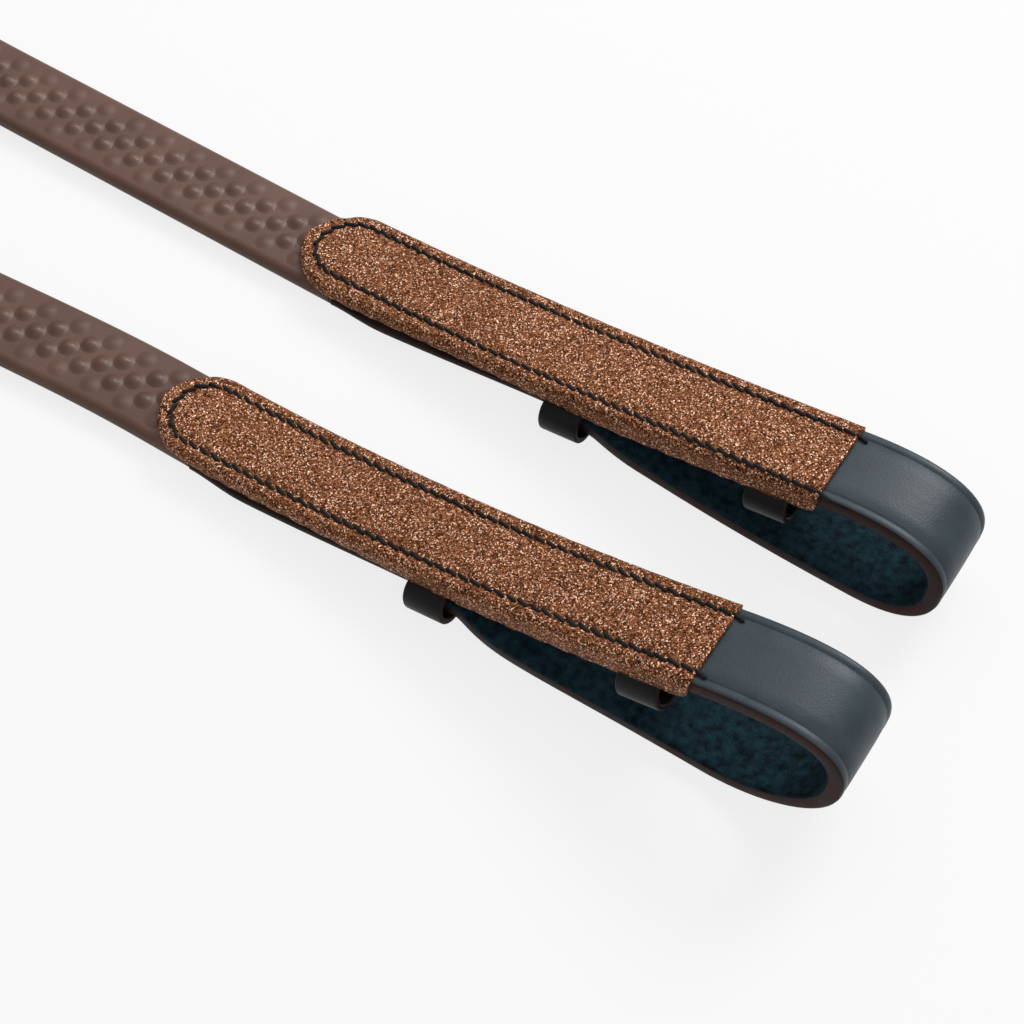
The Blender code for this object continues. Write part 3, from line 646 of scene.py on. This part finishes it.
def strap_section(width, thickness, crease):
    """Section of a leather strap, grain side first, and which side each stretch of it belongs to.

    Sides: 0 grain, 1 cut edge, 2 flesh. A crease line is pressed near each edge of the grain side.
    """
    w, t = width / 2, thickness / 2
    edge = 0.7 * MM
    grain = [(-w, t - edge), (-w + 0.3 * edge, t - 0.25 * edge), (-w + edge, t)]
    if crease:
        line = 2 * MM
        grain += [(-w + line - 0.45 * MM, t), (-w + line, t - crease), (-w + line + 0.45 * MM, t)]
    grain += [(-0.45 * w, t + 0.06 * MM), (0, t + 0.08 * MM)]
    grain += [(-x, y) for x, y in grain[-2::-1]]
    flesh = [(w, -t + edge), (w - 0.3 * edge, -t + 0.25 * edge), (w - edge, -t), (0, -t)]
    flesh += [(-x, y) for x, y in flesh[-2::-1]]
    sides = [0] * (len(grain) - 1) + [1] + [2] * (len(flesh) - 1) + [1]
    sides[0] = sides[len(grain) - 2] = 1
    return grain + flesh, sides


def leather_slots(piece):
    for finish in (BLACK_GRAIN, CUT_EDGE, SUEDE):
        piece.data.materials.append(finish)


def cut_with(piece, cutters):
    """Cuts plain meshes out of a piece and keeps its result as an ordinary mesh."""
    for cutter in cutters:
        scene.collection.objects.link(cutter)
        modifier = piece.modifiers.new("cut", "BOOLEAN")
        modifier.object = cutter
        modifier.operation = "DIFFERENCE"
    graph = bpy.context.evaluated_depsgraph_get()
    mesh = bpy.data.meshes.new_from_object(piece.evaluated_get(graph))
    piece.modifiers.clear()
    piece.data = mesh
    for cutter in cutters:
        bpy.data.objects.remove(cutter)


def drill(centre, axis, radius, length):
    """A round punch along an axis."""
    shape = bmesh.new()
    turn = Vector(axis).to_track_quat("Z", "Y").to_matrix().to_4x4()
    bmesh.ops.create_cone(
        shape,
        cap_ends=True,
        segments=20,
        radius1=radius,
        radius2=radius,
        depth=length,
        matrix=Matrix.Translation(centre) @ turn,
    )
    return bpy.data.objects.new("punch", mesh_of("punch", shape))


section, sides = strap_section(HAND_WIDTH, HAND_THICKNESS, HAND_CREASE)

frames = routes["left"]
total = GRIP_LENGTH + HAND_LENGTH
rings, path, holes = [], [], []
steps = 150
for i in range(steps + 1):
    distance = GRIP_LENGTH + JOIN_GAP + (HAND_LENGTH - JOIN_GAP) * i / steps
    centre, along, across, outward = frame_at(frames, distance)
    to_tip = min(1, (total - distance) / POINT_LENGTH)
    narrow = POINT_WIDTH + (1 - POINT_WIDTH) * math.sqrt(max(0, to_tip))
    rings.append([centre + across * x * narrow + outward * y for x, y in section])
    path.append(tuple(centre))
for i in range(HOLE_COUNT):
    centre, along, across, outward = frame_at(frames, total - FIRST_HOLE_FROM_TIP - i * HOLE_PITCH)
    holes.append(drill(centre, outward, HOLE_RADIUS, 3 * HAND_THICKNESS))
left_hand = skin_rings("left_hand", rings, paint=sides)
leather_slots(left_hand)
cut_with(left_hand, holes)
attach(left_hand, "straps")
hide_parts("left_hand_strap")

# The right strap leaves the roll in a tight bend and ends in the buckle.
frames = routes["right"]
hand_rolled = HAND_LENGTH - bend_length - INNER_STRAIGHT
path_frames = []
for i in range(101):
    path_frames.append(frame_at(frames, GRIP_LENGTH + JOIN_GAP + (hand_rolled - JOIN_GAP) * i / 100))
bend_steps = 24
for i in range(bend_steps):
    centre, along, across, outward = path_frames[-1]
    turn = Matrix.Rotation(INNER_BEND_ANGLE / bend_steps, 3, "Z")
    along = turn @ along
    path_frames.append((centre + along * bend_length / bend_steps, along, across, turn @ outward))
for i in range(10):
    centre, along, across, outward = path_frames[-1]
    path_frames.append((centre + along * INNER_STRAIGHT / 10, along, across, outward))
rings = [[c + across * x + outward * y for x, y in section] for c, along, across, outward in path_frames]
path = [tuple(c) for c, *_ in path_frames]
right_hand = skin_rings("right_hand", rings, paint=sides)
leather_slots(right_hand)
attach(right_hand, "straps")
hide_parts("right_hand_strap")

# The turned-back end: a thinner wrap round the bar, with a slot for the tongue. It is placed from the bar, so its flat
# part lies about 2 mm off the strap's flesh side.
bar = lifts["buckle_frame_turn"]
_, along, across, outward = path_frames[-1]
lay = HAND_THICKNESS / 2 + WRAP_WALL / 2 + 0.1 * MM
wrap_line = [bar - along * (CHAPE_RETURN + 2 * MM - 3 * MM * i) - outward * lay for i in range(8)]
for i in range(17):
    angle = math.radians(-90 + WRAP_TURN * i / 16)
    wrap_line.append(bar + along * WRAP_RADIUS * math.cos(angle) + outward * WRAP_RADIUS * math.sin(angle))
wrap_section = rounded_section(WRAP_WALL, HAND_WIDTH - 0.2 * MM, 0.5 * MM, 3)
rings = []
for i, point in enumerate(wrap_line):
    ahead = (wrap_line[min(i + 1, len(wrap_line) - 1)] - wrap_line[max(i - 1, 0)]).normalized()
    off = ahead.cross(Vector((0, 0, 1)))
    rings.append([point + off * x + Vector((0, 0, y)) for x, y in wrap_section])
chape = skin_rings("right_chape", rings)
chape.data.materials.append(BLACK_GRAIN)
slot_shape = bmesh.new()
spin = Matrix((along, -outward, (0, 0, 1))).transposed().to_4x4()
slot_place = Matrix.Translation(bar + along * 1.5 * MM) @ spin @ Matrix.Diagonal(TONGUE_SLOT)
bmesh.ops.create_cube(slot_shape, size=1, matrix=slot_place)
cut_with(chape, [bpy.data.objects.new("tongue_slot", mesh_of("tongue_slot", slot_shape))])
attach(chape, "straps")


# Centre buckle
# A bent steel wire frame turns on its heel bar in the chape, and a loose tongue turns on the same bar.

def steel_finish():
    finish = Finish("polished_steel")
    streak = noise_value(finish, 900, 2)
    tint = ramp(finish, streak, ((0.3, (0.55, 0.55, 0.54)), (0.7, (0.66, 0.66, 0.64))))
    finish.set(Base_Color=tint, Metallic=1.0, Roughness=ramp(finish, streak, ((0.3, 0.16), (0.7, 0.3))))
    return finish.material


STEEL = steel_finish()
for node in ("buckle_frame", "buckle_tongue"):
    metal = frame["nodes"][node]
    metal.data.materials.clear()
    metal.data.materials.append(STEEL)


# Billets
# One black leather strap runs under each overlay, folds forward into the bit loop, and comes back underneath to be
# tucked through the rear keeper. Its grain side is outside the loop and its blue-green flesh side is inside.

BILLET_WIDTH = 19.4 * MM
BILLET_THICKNESS = 4 * MM
BILLET_CREASE = 0.25 * MM
BILLET_START = -OVERLAY_LENGTH + GRIP_UNDER_OVERLAY + JOIN_GAP
STUD_HOLE_SETBACK = 38 * MM
STUD_HOLE_RADIUS = 2.1 * MM
ROUNDED_TIP = 8
REAR_TOP = 8 * MM
FIT = 0.3 * MM
OVERLAY_WALL = 0.8 * MM
KEEPER_WALL = 1.4 * MM
KEEPER_WIDTH = 9.8 * MM
REAR_KEEPER_SETBACK = 56 * MM
REAR_KEEPER_SLACK = 2.2 * MM
TIP_BEHIND_KEEPER = 4 * MM
BILLET_REAR = REAR_TOP - OVERLAY_WALL - FIT - BILLET_THICKNESS / 2
TAIL_DROP = BILLET_THICKNESS + KEEPER_WALL + REAR_KEEPER_SLACK


def bit_end_origin(rein):
    """The table under the middle of the overlay's front end, which a bit end's own places are counted from."""
    return rein["lift"] + Vector((OVERLAY_LENGTH, 0, -rein["lift"].z))


def billet_height(rein, x):
    """Height of the billet's middle, at a place behind the overlay's front end."""
    share = max(0.0, 1 + x / OVERLAY_LENGTH)
    front = rein["loop_top"] - OVERLAY_WALL - FIT - BILLET_THICKNESS / 2
    return BILLET_REAR + (front - BILLET_REAR) * share ** rein["rise_power"]


def billet_slope(rein, x):
    return (billet_height(rein, x + 0.5 * MM) - billet_height(rein, x - 0.5 * MM)) / MM


def tail_point(rein, x):
    normal = Vector((-billet_slope(rein, x), 1)).normalized()
    return Vector((x, billet_height(rein, x))) - normal * TAIL_DROP


def bezier(start, out, into, end, count):
    points = []
    for i in range(count):
        t = i / count
        weights = ((1 - t) ** 3, 3 * t * (1 - t) ** 2, 3 * t * t * (1 - t), t**3)
        points.append(sum((w * Vector(p) for w, p in zip(weights, (start, out, into, end))), Vector((0, 0))))
    return points


def billet_line(rein, first):
    """The billet's middle seen from the side, from under the overlay round to its tip, and how far it has slid."""
    half = BILLET_THICKNESS / 2
    front = Vector((0, billet_height(rein, 0)))
    slope = billet_slope(rein, -MM)
    nose = Vector((rein["loop_reach"] - half, rein["loop_nose"]))
    lowest = Vector((rein["loop_floor"], half))
    inside = -REAR_KEEPER_SETBACK + FIT
    tail_in = tail_point(rein, inside)
    run = lowest.x - tail_in.x
    tip = -REAR_KEEPER_SETBACK - KEEPER_WIDTH - TIP_BEHIND_KEEPER
    line = [Vector((x, billet_height(rein, x))) for x in (first - first * i / 40 for i in range(40))]
    slid = [0.0] * 40
    leaving = front + Vector((1, slope)) * 0.66 * nose.x
    line += bezier(front, leaving, nose + Vector((0.04 * nose.x, 0.45 * front.y)), nose, 26)
    line += bezier(nose, nose - Vector((0, 0.5 * nose.y)), lowest + Vector((0.45 * nose.x, 0)), lowest, 20)
    line += bezier(lowest, lowest - Vector((0.84 * run, 0)), tail_in + Vector((0.1 * run, 0)), tail_in, 36)
    line += [tail_point(rein, inside + (tip - inside) * i / 12) for i in range(13)]
    at_nose, on_table, half_way, in_keeper = rein["slides"]
    stretches = ((0, at_nose, 26), (at_nose, on_table, 20), (on_table, half_way, 18), (half_way, in_keeper, 18))
    for start, end, count in stretches:
        slid += [start + (end - start) * ease(i / count) for i in range(count)]
    return line, slid + [in_keeper] * 13


def side_sweep(rein, line, section, narrow=None, slid=None):
    """Rings of a section along a line seen from the side, in the rein's own lane."""
    origin = bit_end_origin(rein)
    rings = []
    for i, point in enumerate(line):
        ahead = (line[min(i + 1, len(line) - 1)] - line[max(i - 1, 0)]).normalized()
        normal = Vector((-ahead.y, ahead.x))
        share = narrow[i] if narrow else 1
        aside = slid[i] if slid else 0
        ring = []
        for y, n in section:
            at = point + normal * n
            ring.append(origin + Vector((at.x, -y * share - aside, at.y)))
        rings.append(ring)
    return rings


section, sides = strap_section(BILLET_WIDTH, BILLET_THICKNESS, BILLET_CREASE)
for name, rein in REINS.items():
    line, slid = billet_line(rein, BILLET_START)
    narrow = [1.0] * len(line)
    narrow[-1] = 0.35
    for back in range(1, ROUNDED_TIP):
        narrow[-1 - back] = 0.45 + 0.55 * math.sqrt(1 - (1 - back / ROUNDED_TIP) ** 2)
    billet = skin_rings(f"{name}_billet_strap", side_sweep(rein, line, section, narrow, slid), paint=sides)
    leather_slots(billet)
    half_way, in_keeper = rein["slides"][2:]
    punch = bit_end_origin(rein) - Vector((STUD_HOLE_SETBACK, (half_way + in_keeper) / 2, 0))
    punch_length = 2 * (tail_point(rein, -STUD_HOLE_SETBACK).y + 3 * MM)
    cut_with(billet, [drill(punch, (0, 0, 1), STUD_HOLE_RADIUS, punch_length)])
    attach(billet, f"{name}_bit_end")
    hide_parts(f"{name}_billet")


# Backing
# A brown leather strip under the rear of each billet, sewn through with the overlay. It starts about as wide as the
# grip and stands a little proud of the overlay's near edge behind the rear keeper.

OVERLAY_WIDTH = 21.2 * MM
BACKING_WALL = 1.3 * MM
BACKING_MARGIN = 0.3 * MM
BACKING_PROUD = 1.2 * MM


def overlay_half(rein, x, side):
    """The overlay's width to one side at a place: it widens from its front end towards the grip."""
    return OVERLAY_WIDTH / 2 - rein["flare" if side > 0 else "near_flare"] * x / OVERLAY_LENGTH


for name, rein in REINS.items():
    run = -REAR_KEEPER_SETBACK - KEEPER_WIDTH - FIT - BILLET_START
    line = [Vector((x, billet_height(rein, x))) for x in (BILLET_START + run * i / 30 for i in range(31))]
    low = -BILLET_THICKNESS / 2 - FIT - BACKING_WALL / 2
    shape = rounded_section(OVERLAY_WIDTH - BACKING_MARGIN, BACKING_WALL, 0.5 * MM, 3)
    shape = [(y, n + low) for y, n in shape]
    proud = [BACKING_PROUD * ease(i / 8) * (1 - ease(i / 30)) for i in range(31)]
    widening = [(GRIP_WIDTH + 2 * out) / OVERLAY_WIDTH for out in proud]
    backing = skin_rings(f"{name}_backing_strip", side_sweep(rein, line, shape, widening))
    backing.data.materials.append(BROWN_LEATHER)
    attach(backing, f"{name}_bit_end")
    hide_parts(f"{name}_backing")


# Overlays
# A thin copper glitter leather covers each billet. Its long edges wrap down over the strap, its rear end is cut
# round, and the pull of the stitches dimples it along the seam.

FRONT_LIP = 4.2 * MM
REAR_LIP = {"left": 1.2 * MM, "right": 1.7 * MM}
END_LIP = 0.5 * MM
LIP_CORNER = 1.4 * MM
LIP_GROWTH = 14 * MM
LIP_WAVE = 0.1 * MM
EDGE_BEND = 2 * MM
COVER_WALL = 0.9 * MM
CROWN = 0.3 * MM
DIMPLE_DEPTH = 0.55 * MM
DIMPLE_WIDTH = 0.9 * MM
SEAM_INSET = 3.4 * MM
STITCH_PITCH = 3.0 * MM


def glitter_finish():
    finish = Finish("copper_glitter")
    place = finish.add("ShaderNodeTexCoord")
    flakes = finish.add("ShaderNodeTexVoronoi", Scale=4000.0)
    finish.link(place.outputs["Object"], flakes.inputs["Vector"])
    split = finish.add("ShaderNodeSeparateColor")
    finish.link(flakes.outputs["Color"], split.inputs[0])
    stops = (
        (0.0, (0.01, 0.004, 0.002)),
        (0.3, (0.06, 0.02, 0.009)),
        (0.62, (0.18, 0.065, 0.027)),
        (0.88, (0.35, 0.145, 0.068)),
        (0.985, (0.9, 0.6, 0.44)),
    )
    finish.set(Base_Color=ramp(finish, split.outputs[0], stops))
    finish.set(Metallic=ramp(finish, split.outputs[1], ((0.2, 0.05), (0.8, 0.6))))
    finish.set(Roughness=ramp(finish, split.outputs[2], ((0.0, 0.32), (1.0, 0.62))))
    bump(finish, split.outputs[0], 0.5, 0.00015)
    finish.set(Specular_IOR_Level=0.1, Specular_Tint=(0.85, 0.52, 0.35, 1))
    return finish.material


GLITTER = glitter_finish()


def seam_half(rein, x, side):
    """How far out the seam runs on one side. The near one slants across the strap, most on the left rein."""
    at_rear, at_front = (0, 0) if side > 0 else rein["seam_slant"]
    slant = at_front - (at_rear - at_front) * x / OVERLAY_LENGTH
    return overlay_half(rein, x, side) - SEAM_INSET - slant


def overlay_top(rein, x, y):
    """Height of the overlay's upper face: a soft crown between the seams, pulled down along the stitches."""
    base = billet_height(rein, x) + BILLET_THICKNESS / 2 + FIT + OVERLAY_WALL
    seam = seam_half(rein, x, y)
    crown = CROWN * max(0, 1 - (y / seam) ** 2)
    pull = 0.75 + 0.25 * math.cos(2 * math.pi * x / STITCH_PITCH)
    dimple = DIMPLE_DEPTH * pull * math.exp(-(((abs(y) - seam) / DIMPLE_WIDTH) ** 2))
    return base + crown - dimple


def overlay_lip(x, radius, rear_lip):
    """How far the overlay's edges hang down: little at the rear, most near the rounded front corners."""
    rear = -OVERLAY_LENGTH
    full = rear_lip + (FRONT_LIP - rear_lip) * ease((x - 0.7 * rear) / (-0.4 * rear))
    full -= LIP_CORNER * (1 - math.sqrt(1 - max(0, 1 + x / LIP_CORNER) ** 2))
    return END_LIP + (full - END_LIP) * ease((x - rear - 0.5 * radius) / LIP_GROWTH)


def overlay_cover(name, rein, rear_lip):
    radius = overlay_half(rein, -OVERLAY_LENGTH, 1)
    round_from = radius - OVERLAY_LENGTH
    stations = [round_from - radius * math.cos(math.radians(90 * i / 16)) for i in range(16)]
    stations += [round_from * (1 - i / 240) for i in range(241)]
    origin = bit_end_origin(rein)
    shape = bmesh.new()
    rows = []
    half_count = 20
    for x in stations:
        inner = max(0, round_from - x)
        round_end = math.sqrt(max(0, radius**2 - inner**2)) / radius
        lip = overlay_lip(x, radius, rear_lip)
        row = []
        for i in range(-half_count, half_count + 1):
            sign = -1 if i < 0 else 1
            half = max(round_end * overlay_half(rein, x, sign), 0.4 * MM)
            bend = min(EDGE_BEND, 0.5 * half)
            flat = half - bend
            arc = bend * math.pi / 2
            run = abs(i) / half_count * (flat + arc + lip)
            if run <= flat:
                y, down = run, 0
            elif run <= flat + arc:
                angle = (run - flat) / bend
                y, down = flat + bend * math.sin(angle), bend * (1 - math.cos(angle))
            else:
                y, down = half, bend + run - flat - arc
            wave = LIP_WAVE * math.sin(math.pi * x / STITCH_PITCH + sign) * ease(down / (3 * MM))
            z = overlay_top(rein, x, sign * y) - down
            row.append(shape.verts.new(origin + Vector((x, sign * (y + wave), z))))
        rows.append(row)
    for a, b in zip(rows, rows[1:]):
        for i in range(len(a) - 1):
            shape.faces.new((a[i], b[i], b[i + 1], a[i + 1])).smooth = True
    bmesh.ops.remove_doubles(shape, verts=shape.verts, dist=0.02 * MM)
    bmesh.ops.recalc_face_normals(shape, faces=shape.faces)
    if sum(face.normal.z for face in shape.faces) < 0:
        bmesh.ops.reverse_faces(shape, faces=shape.faces)
    piece = linked(name, mesh_of(name, shape))
    wall = piece.modifiers.new("wall", "SOLIDIFY")
    wall.thickness = COVER_WALL
    wall.offset = -1
    piece.data.materials.append(GLITTER)
    return piece


for name, rein in REINS.items():
    cover = overlay_cover(f"{name}_overlay_cover", rein, REAR_LIP[name])
    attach(cover, f"{name}_bit_end")
    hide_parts(f"{name}_overlay")


# Stitching
# Waxed black thread, sewn in even stitches along both sides and round the rear end of each overlay. The last
# stitches run past its front end into the black leather.

THREAD_RADIUS = 0.42 * MM
STITCH_LENGTH = 3.5 * MM
STITCH_SLANT = 0.3
PAST_FRONT = 2.2 * MM
THREAD_RISE = 0.15 * MM
FRONT_STEP = OVERLAY_WALL - 0.2 * MM
FRONT_FALL = 4


def thread_finish():
    finish = Finish("waxed_black_thread")
    place = finish.add("ShaderNodeTexCoord")
    twist = finish.add("ShaderNodeTexWave", Scale=900.0, Distortion=1.0)
    finish.link(place.outputs["Object"], twist.inputs["Vector"])
    shade = ramp(finish, twist.outputs["Fac"], ((0.2, (0.004, 0.004, 0.004)), (0.9, (0.014, 0.013, 0.013))))
    finish.set(Base_Color=shade)
    bump(finish, twist.outputs["Fac"], 0.4, 0.0002)
    finish.set(Roughness=0.6, Specular_IOR_Level=0.15)
    return finish.material


THREAD = thread_finish()


def stitch_tree():
    """Geometry nodes: one rounded stitch on each point, lying along the point's own direction."""
    sizes = {"Thread Radius": THREAD_RADIUS, "Stitch Length": STITCH_LENGTH}
    group, tree, given, form, stand = scatter_tree("stitches", sizes, "along", "X")
    bead = tree.add("GeometryNodeMeshUVSphere", Segments=12, Rings=8, Radius=1)
    apart = tree.add("ShaderNodeSeparateXYZ")
    tree.feed(apart, tree.add("GeometryNodeInputPosition").outputs[0])
    x, y, z = apart.outputs
    fuller = tree.math("ADD", tree.math("POWER", x, 2), 1)
    blunt = tree.xyz(x, tree.math("MULTIPLY", y, fuller), tree.math("MULTIPLY", z, fuller))
    tree.link(bead.outputs["Mesh"], form.inputs["Geometry"])
    tree.link(blunt, form.inputs["Position"])
    radius = given.outputs["Thread Radius"]
    half = tree.math("MULTIPLY", given.outputs["Stitch Length"], 0.5)
    tree.link(tree.xyz(half, radius, radius), stand.inputs["Scale"])
    return group


STITCHES = stitch_tree()


def seam_line(rein):
    """The seam's places from one front corner round the rear end to the other, close together."""
    rear = -OVERLAY_LENGTH + overlay_half(rein, -OVERLAY_LENGTH, 1)
    radius = seam_half(rein, rear, 1)
    steps = 160
    run = [PAST_FRONT + (rear - PAST_FRONT) * i / steps for i in range(steps)]
    plan = [Vector((x, seam_half(rein, x, 1))) for x in run]
    for i in range(41):
        angle = math.pi * (0.5 + i / 40)
        out = seam_half(rein, rear, 1 if i < 20 else -1)
        plan.append(Vector((rear + radius * math.cos(angle), out * math.sin(angle))))
    plan += [Vector((x, -seam_half(rein, x, -1))) for x in reversed(run)]
    origin = bit_end_origin(rein)
    line = []
    for x, y in plan:
        top = overlay_top(rein, x, y)
        if x > 0:
            top -= FRONT_STEP * ease(x / MM) + FRONT_FALL * x**2
        line.append(origin + Vector((x, y, top + THREAD_RISE)))
    return line


for name, rein in REINS.items():
    line = seam_line(rein)
    walked = [0.0]
    for a, b in zip(line, line[1:]):
        walked.append(walked[-1] + (b - a).length)
    count = round(walked[-1] / STITCH_PITCH)
    points, along = [], []
    for i in range(count):
        spot = walked[-1] * (i + 0.5) / count
        k = next(n for n in range(1, len(line)) if walked[n] >= spot)
        ahead = (line[k] - line[k - 1]).normalized()
        points.append(line[k - 1].lerp(line[k], (spot - walked[k - 1]) / (walked[k] - walked[k - 1])))
        along.append(tuple((ahead + ahead.cross(Vector((0, 0, 1))) * STITCH_SLANT).normalized()))
    attributes = (("along", "FLOAT_VECTOR", along),)
    mesh = nodes_result("stitch_points", points, attributes, STITCHES, {"Finish": THREAD})
    stitching = linked(f"{name}_stitching", mesh)
    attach(stitching, f"{name}_bit_end")
    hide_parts(f"{name}_overlay_seam")


# Keepers
# Narrow black leather loops under each billet, their ends sewn in above. The tail goes through the rear one; the
# front one is empty.

# The keepers' black leather is painted far darker than the straps' black leather: painted shade for their place under
# the billets.
KEEPER_BLACK_WITH_PAINTED_SHADE = leather_finish(
    "black_keeper_leather_with_painted_shade",
    dark=(0.0036, 0.0042, 0.0042),
    light=(0.0066, 0.0072, 0.0072),
    roughness=(0.35, 0.5),
    pebble=1900,
    depth=0.0001,
    gloss=0.15,
)
FRONT_KEEPER_SETBACK = 6.5 * MM
FRONT_KEEPER_SLACK = 2.0 * MM
FRONT_KEEPER_BULGE = 0.5
REAR_KEEPER_BULGE = 0.9


def keeper_loop(name, rein, setback, slack, bulge):
    x = -setback - KEEPER_WIDTH / 2
    slope = math.atan(billet_slope(rein, x))
    height = BILLET_THICKNESS + slack + KEEPER_WALL
    width = BILLET_WIDTH + (BILLET_THICKNESS + slack) * bulge + KEEPER_WALL
    radius = height / 2
    straight = width / 2 - radius
    drop = BILLET_THICKNESS / 2 + FIT + KEEPER_WALL / 2 + radius
    along = Vector((math.cos(slope), 0, math.sin(slope)))
    up = Vector((-math.sin(slope), 0, math.cos(slope)))
    origin = bit_end_origin(rein) + Vector((x, 0, billet_height(rein, x))) - up * drop
    section = rounded_section(KEEPER_WIDTH, KEEPER_WALL, 0.5 * MM, 3)
    sides = [1 if abs(a) > KEEPER_WIDTH / 2 - 0.1 * MM else 0 for a, _ in section]
    rings = []
    for side in (1, -1):
        for i in range(17):
            angle = math.radians(-90 + 180 * i / 16)
            out = Vector((0, side * math.cos(angle), 0)) + up * (side * math.sin(angle))
            centre = origin + Vector((0, side * straight, 0)) + out * radius
            rings.append([centre + along * a + out * n for a, n in section])
    piece = skin_rings(name, rings, closed=True, paint=sides)
    # Their faces take the black leather with its painted shade.
    for finish in (KEEPER_BLACK_WITH_PAINTED_SHADE, CUT_EDGE, KEEPER_BLACK_WITH_PAINTED_SHADE):
        piece.data.materials.append(finish)
    return piece


for name, rein in REINS.items():
    for which, setback, slack, bulge in (
        ("front", FRONT_KEEPER_SETBACK, FRONT_KEEPER_SLACK, FRONT_KEEPER_BULGE),
        ("rear", REAR_KEEPER_SETBACK, REAR_KEEPER_SLACK, REAR_KEEPER_BULGE),
    ):
        loop = keeper_loop(f"{name}_{which}_keeper_loop", rein, setback, slack, bulge)
        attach(loop, f"{name}_bit_end")
        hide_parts(f"{name}_{which}_keeper")


# Hook studs
# A small steel stud on the underside of each billet, between the keepers, for the hole in the tail.

for name in REINS:
    stud = frame["nodes"][f"{name}_hook_stud"]
    stud.data.materials.clear()
    stud.data.materials.append(STEEL)


# Roll tie
# A black leather band round all the layers of the roll, at one side of it.

TIE_WIDTH = 12 * MM
TIE_WALL = 1.0 * MM
TIE_CORNER = 2.5 * MM

low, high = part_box("roll_tie")
tie_mesh = frame["nodes"]["roll_tie"].data
centre = ROLL_CENTRE.to_3d()
tie_middle = sum((v.co for v in tie_mesh.vertices), Vector()) / len(tie_mesh.vertices)
direction = (tie_middle - centre).xy.normalized().to_3d()
tangent = Vector((-direction.y, direction.x, 0))
spans = [(v.co - centre).dot(direction) for v in tie_mesh.vertices]
inset = TIE_WALL / 2 + TIE_CORNER
inner, outer = min(spans) + inset, max(spans) - inset
bottom, top = low.z + inset, high.z - inset
tie_line = []
for r, z, first in ((outer, top, 0), (inner, top, 90), (inner, bottom, 180), (outer, bottom, 270)):
    for i in range(7):
        angle = math.radians(first + 15 * i)
        tie_line.append((r + TIE_CORNER * math.cos(angle), z + TIE_CORNER * math.sin(angle)))
tie_section = rounded_section(TIE_WIDTH, TIE_WALL, 0.4 * MM, 3)
rings = []
for i, (r, z) in enumerate(tie_line):
    r1, z1 = tie_line[(i + 1) % len(tie_line)]
    r0, z0 = tie_line[i - 1]
    ahead = Vector((r1 - r0, z1 - z0)).normalized()
    out = direction * ahead.y - Vector((0, 0, ahead.x))
    at = centre + direction * r + Vector((0, 0, z))
    rings.append([at + tangent * a + out * n for a, n in tie_section])
tie = skin_rings("roll_band", rings, closed=True)
tie.data.materials.append(BLACK_GRAIN)
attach(tie, "straps")
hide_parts("roll_tie")
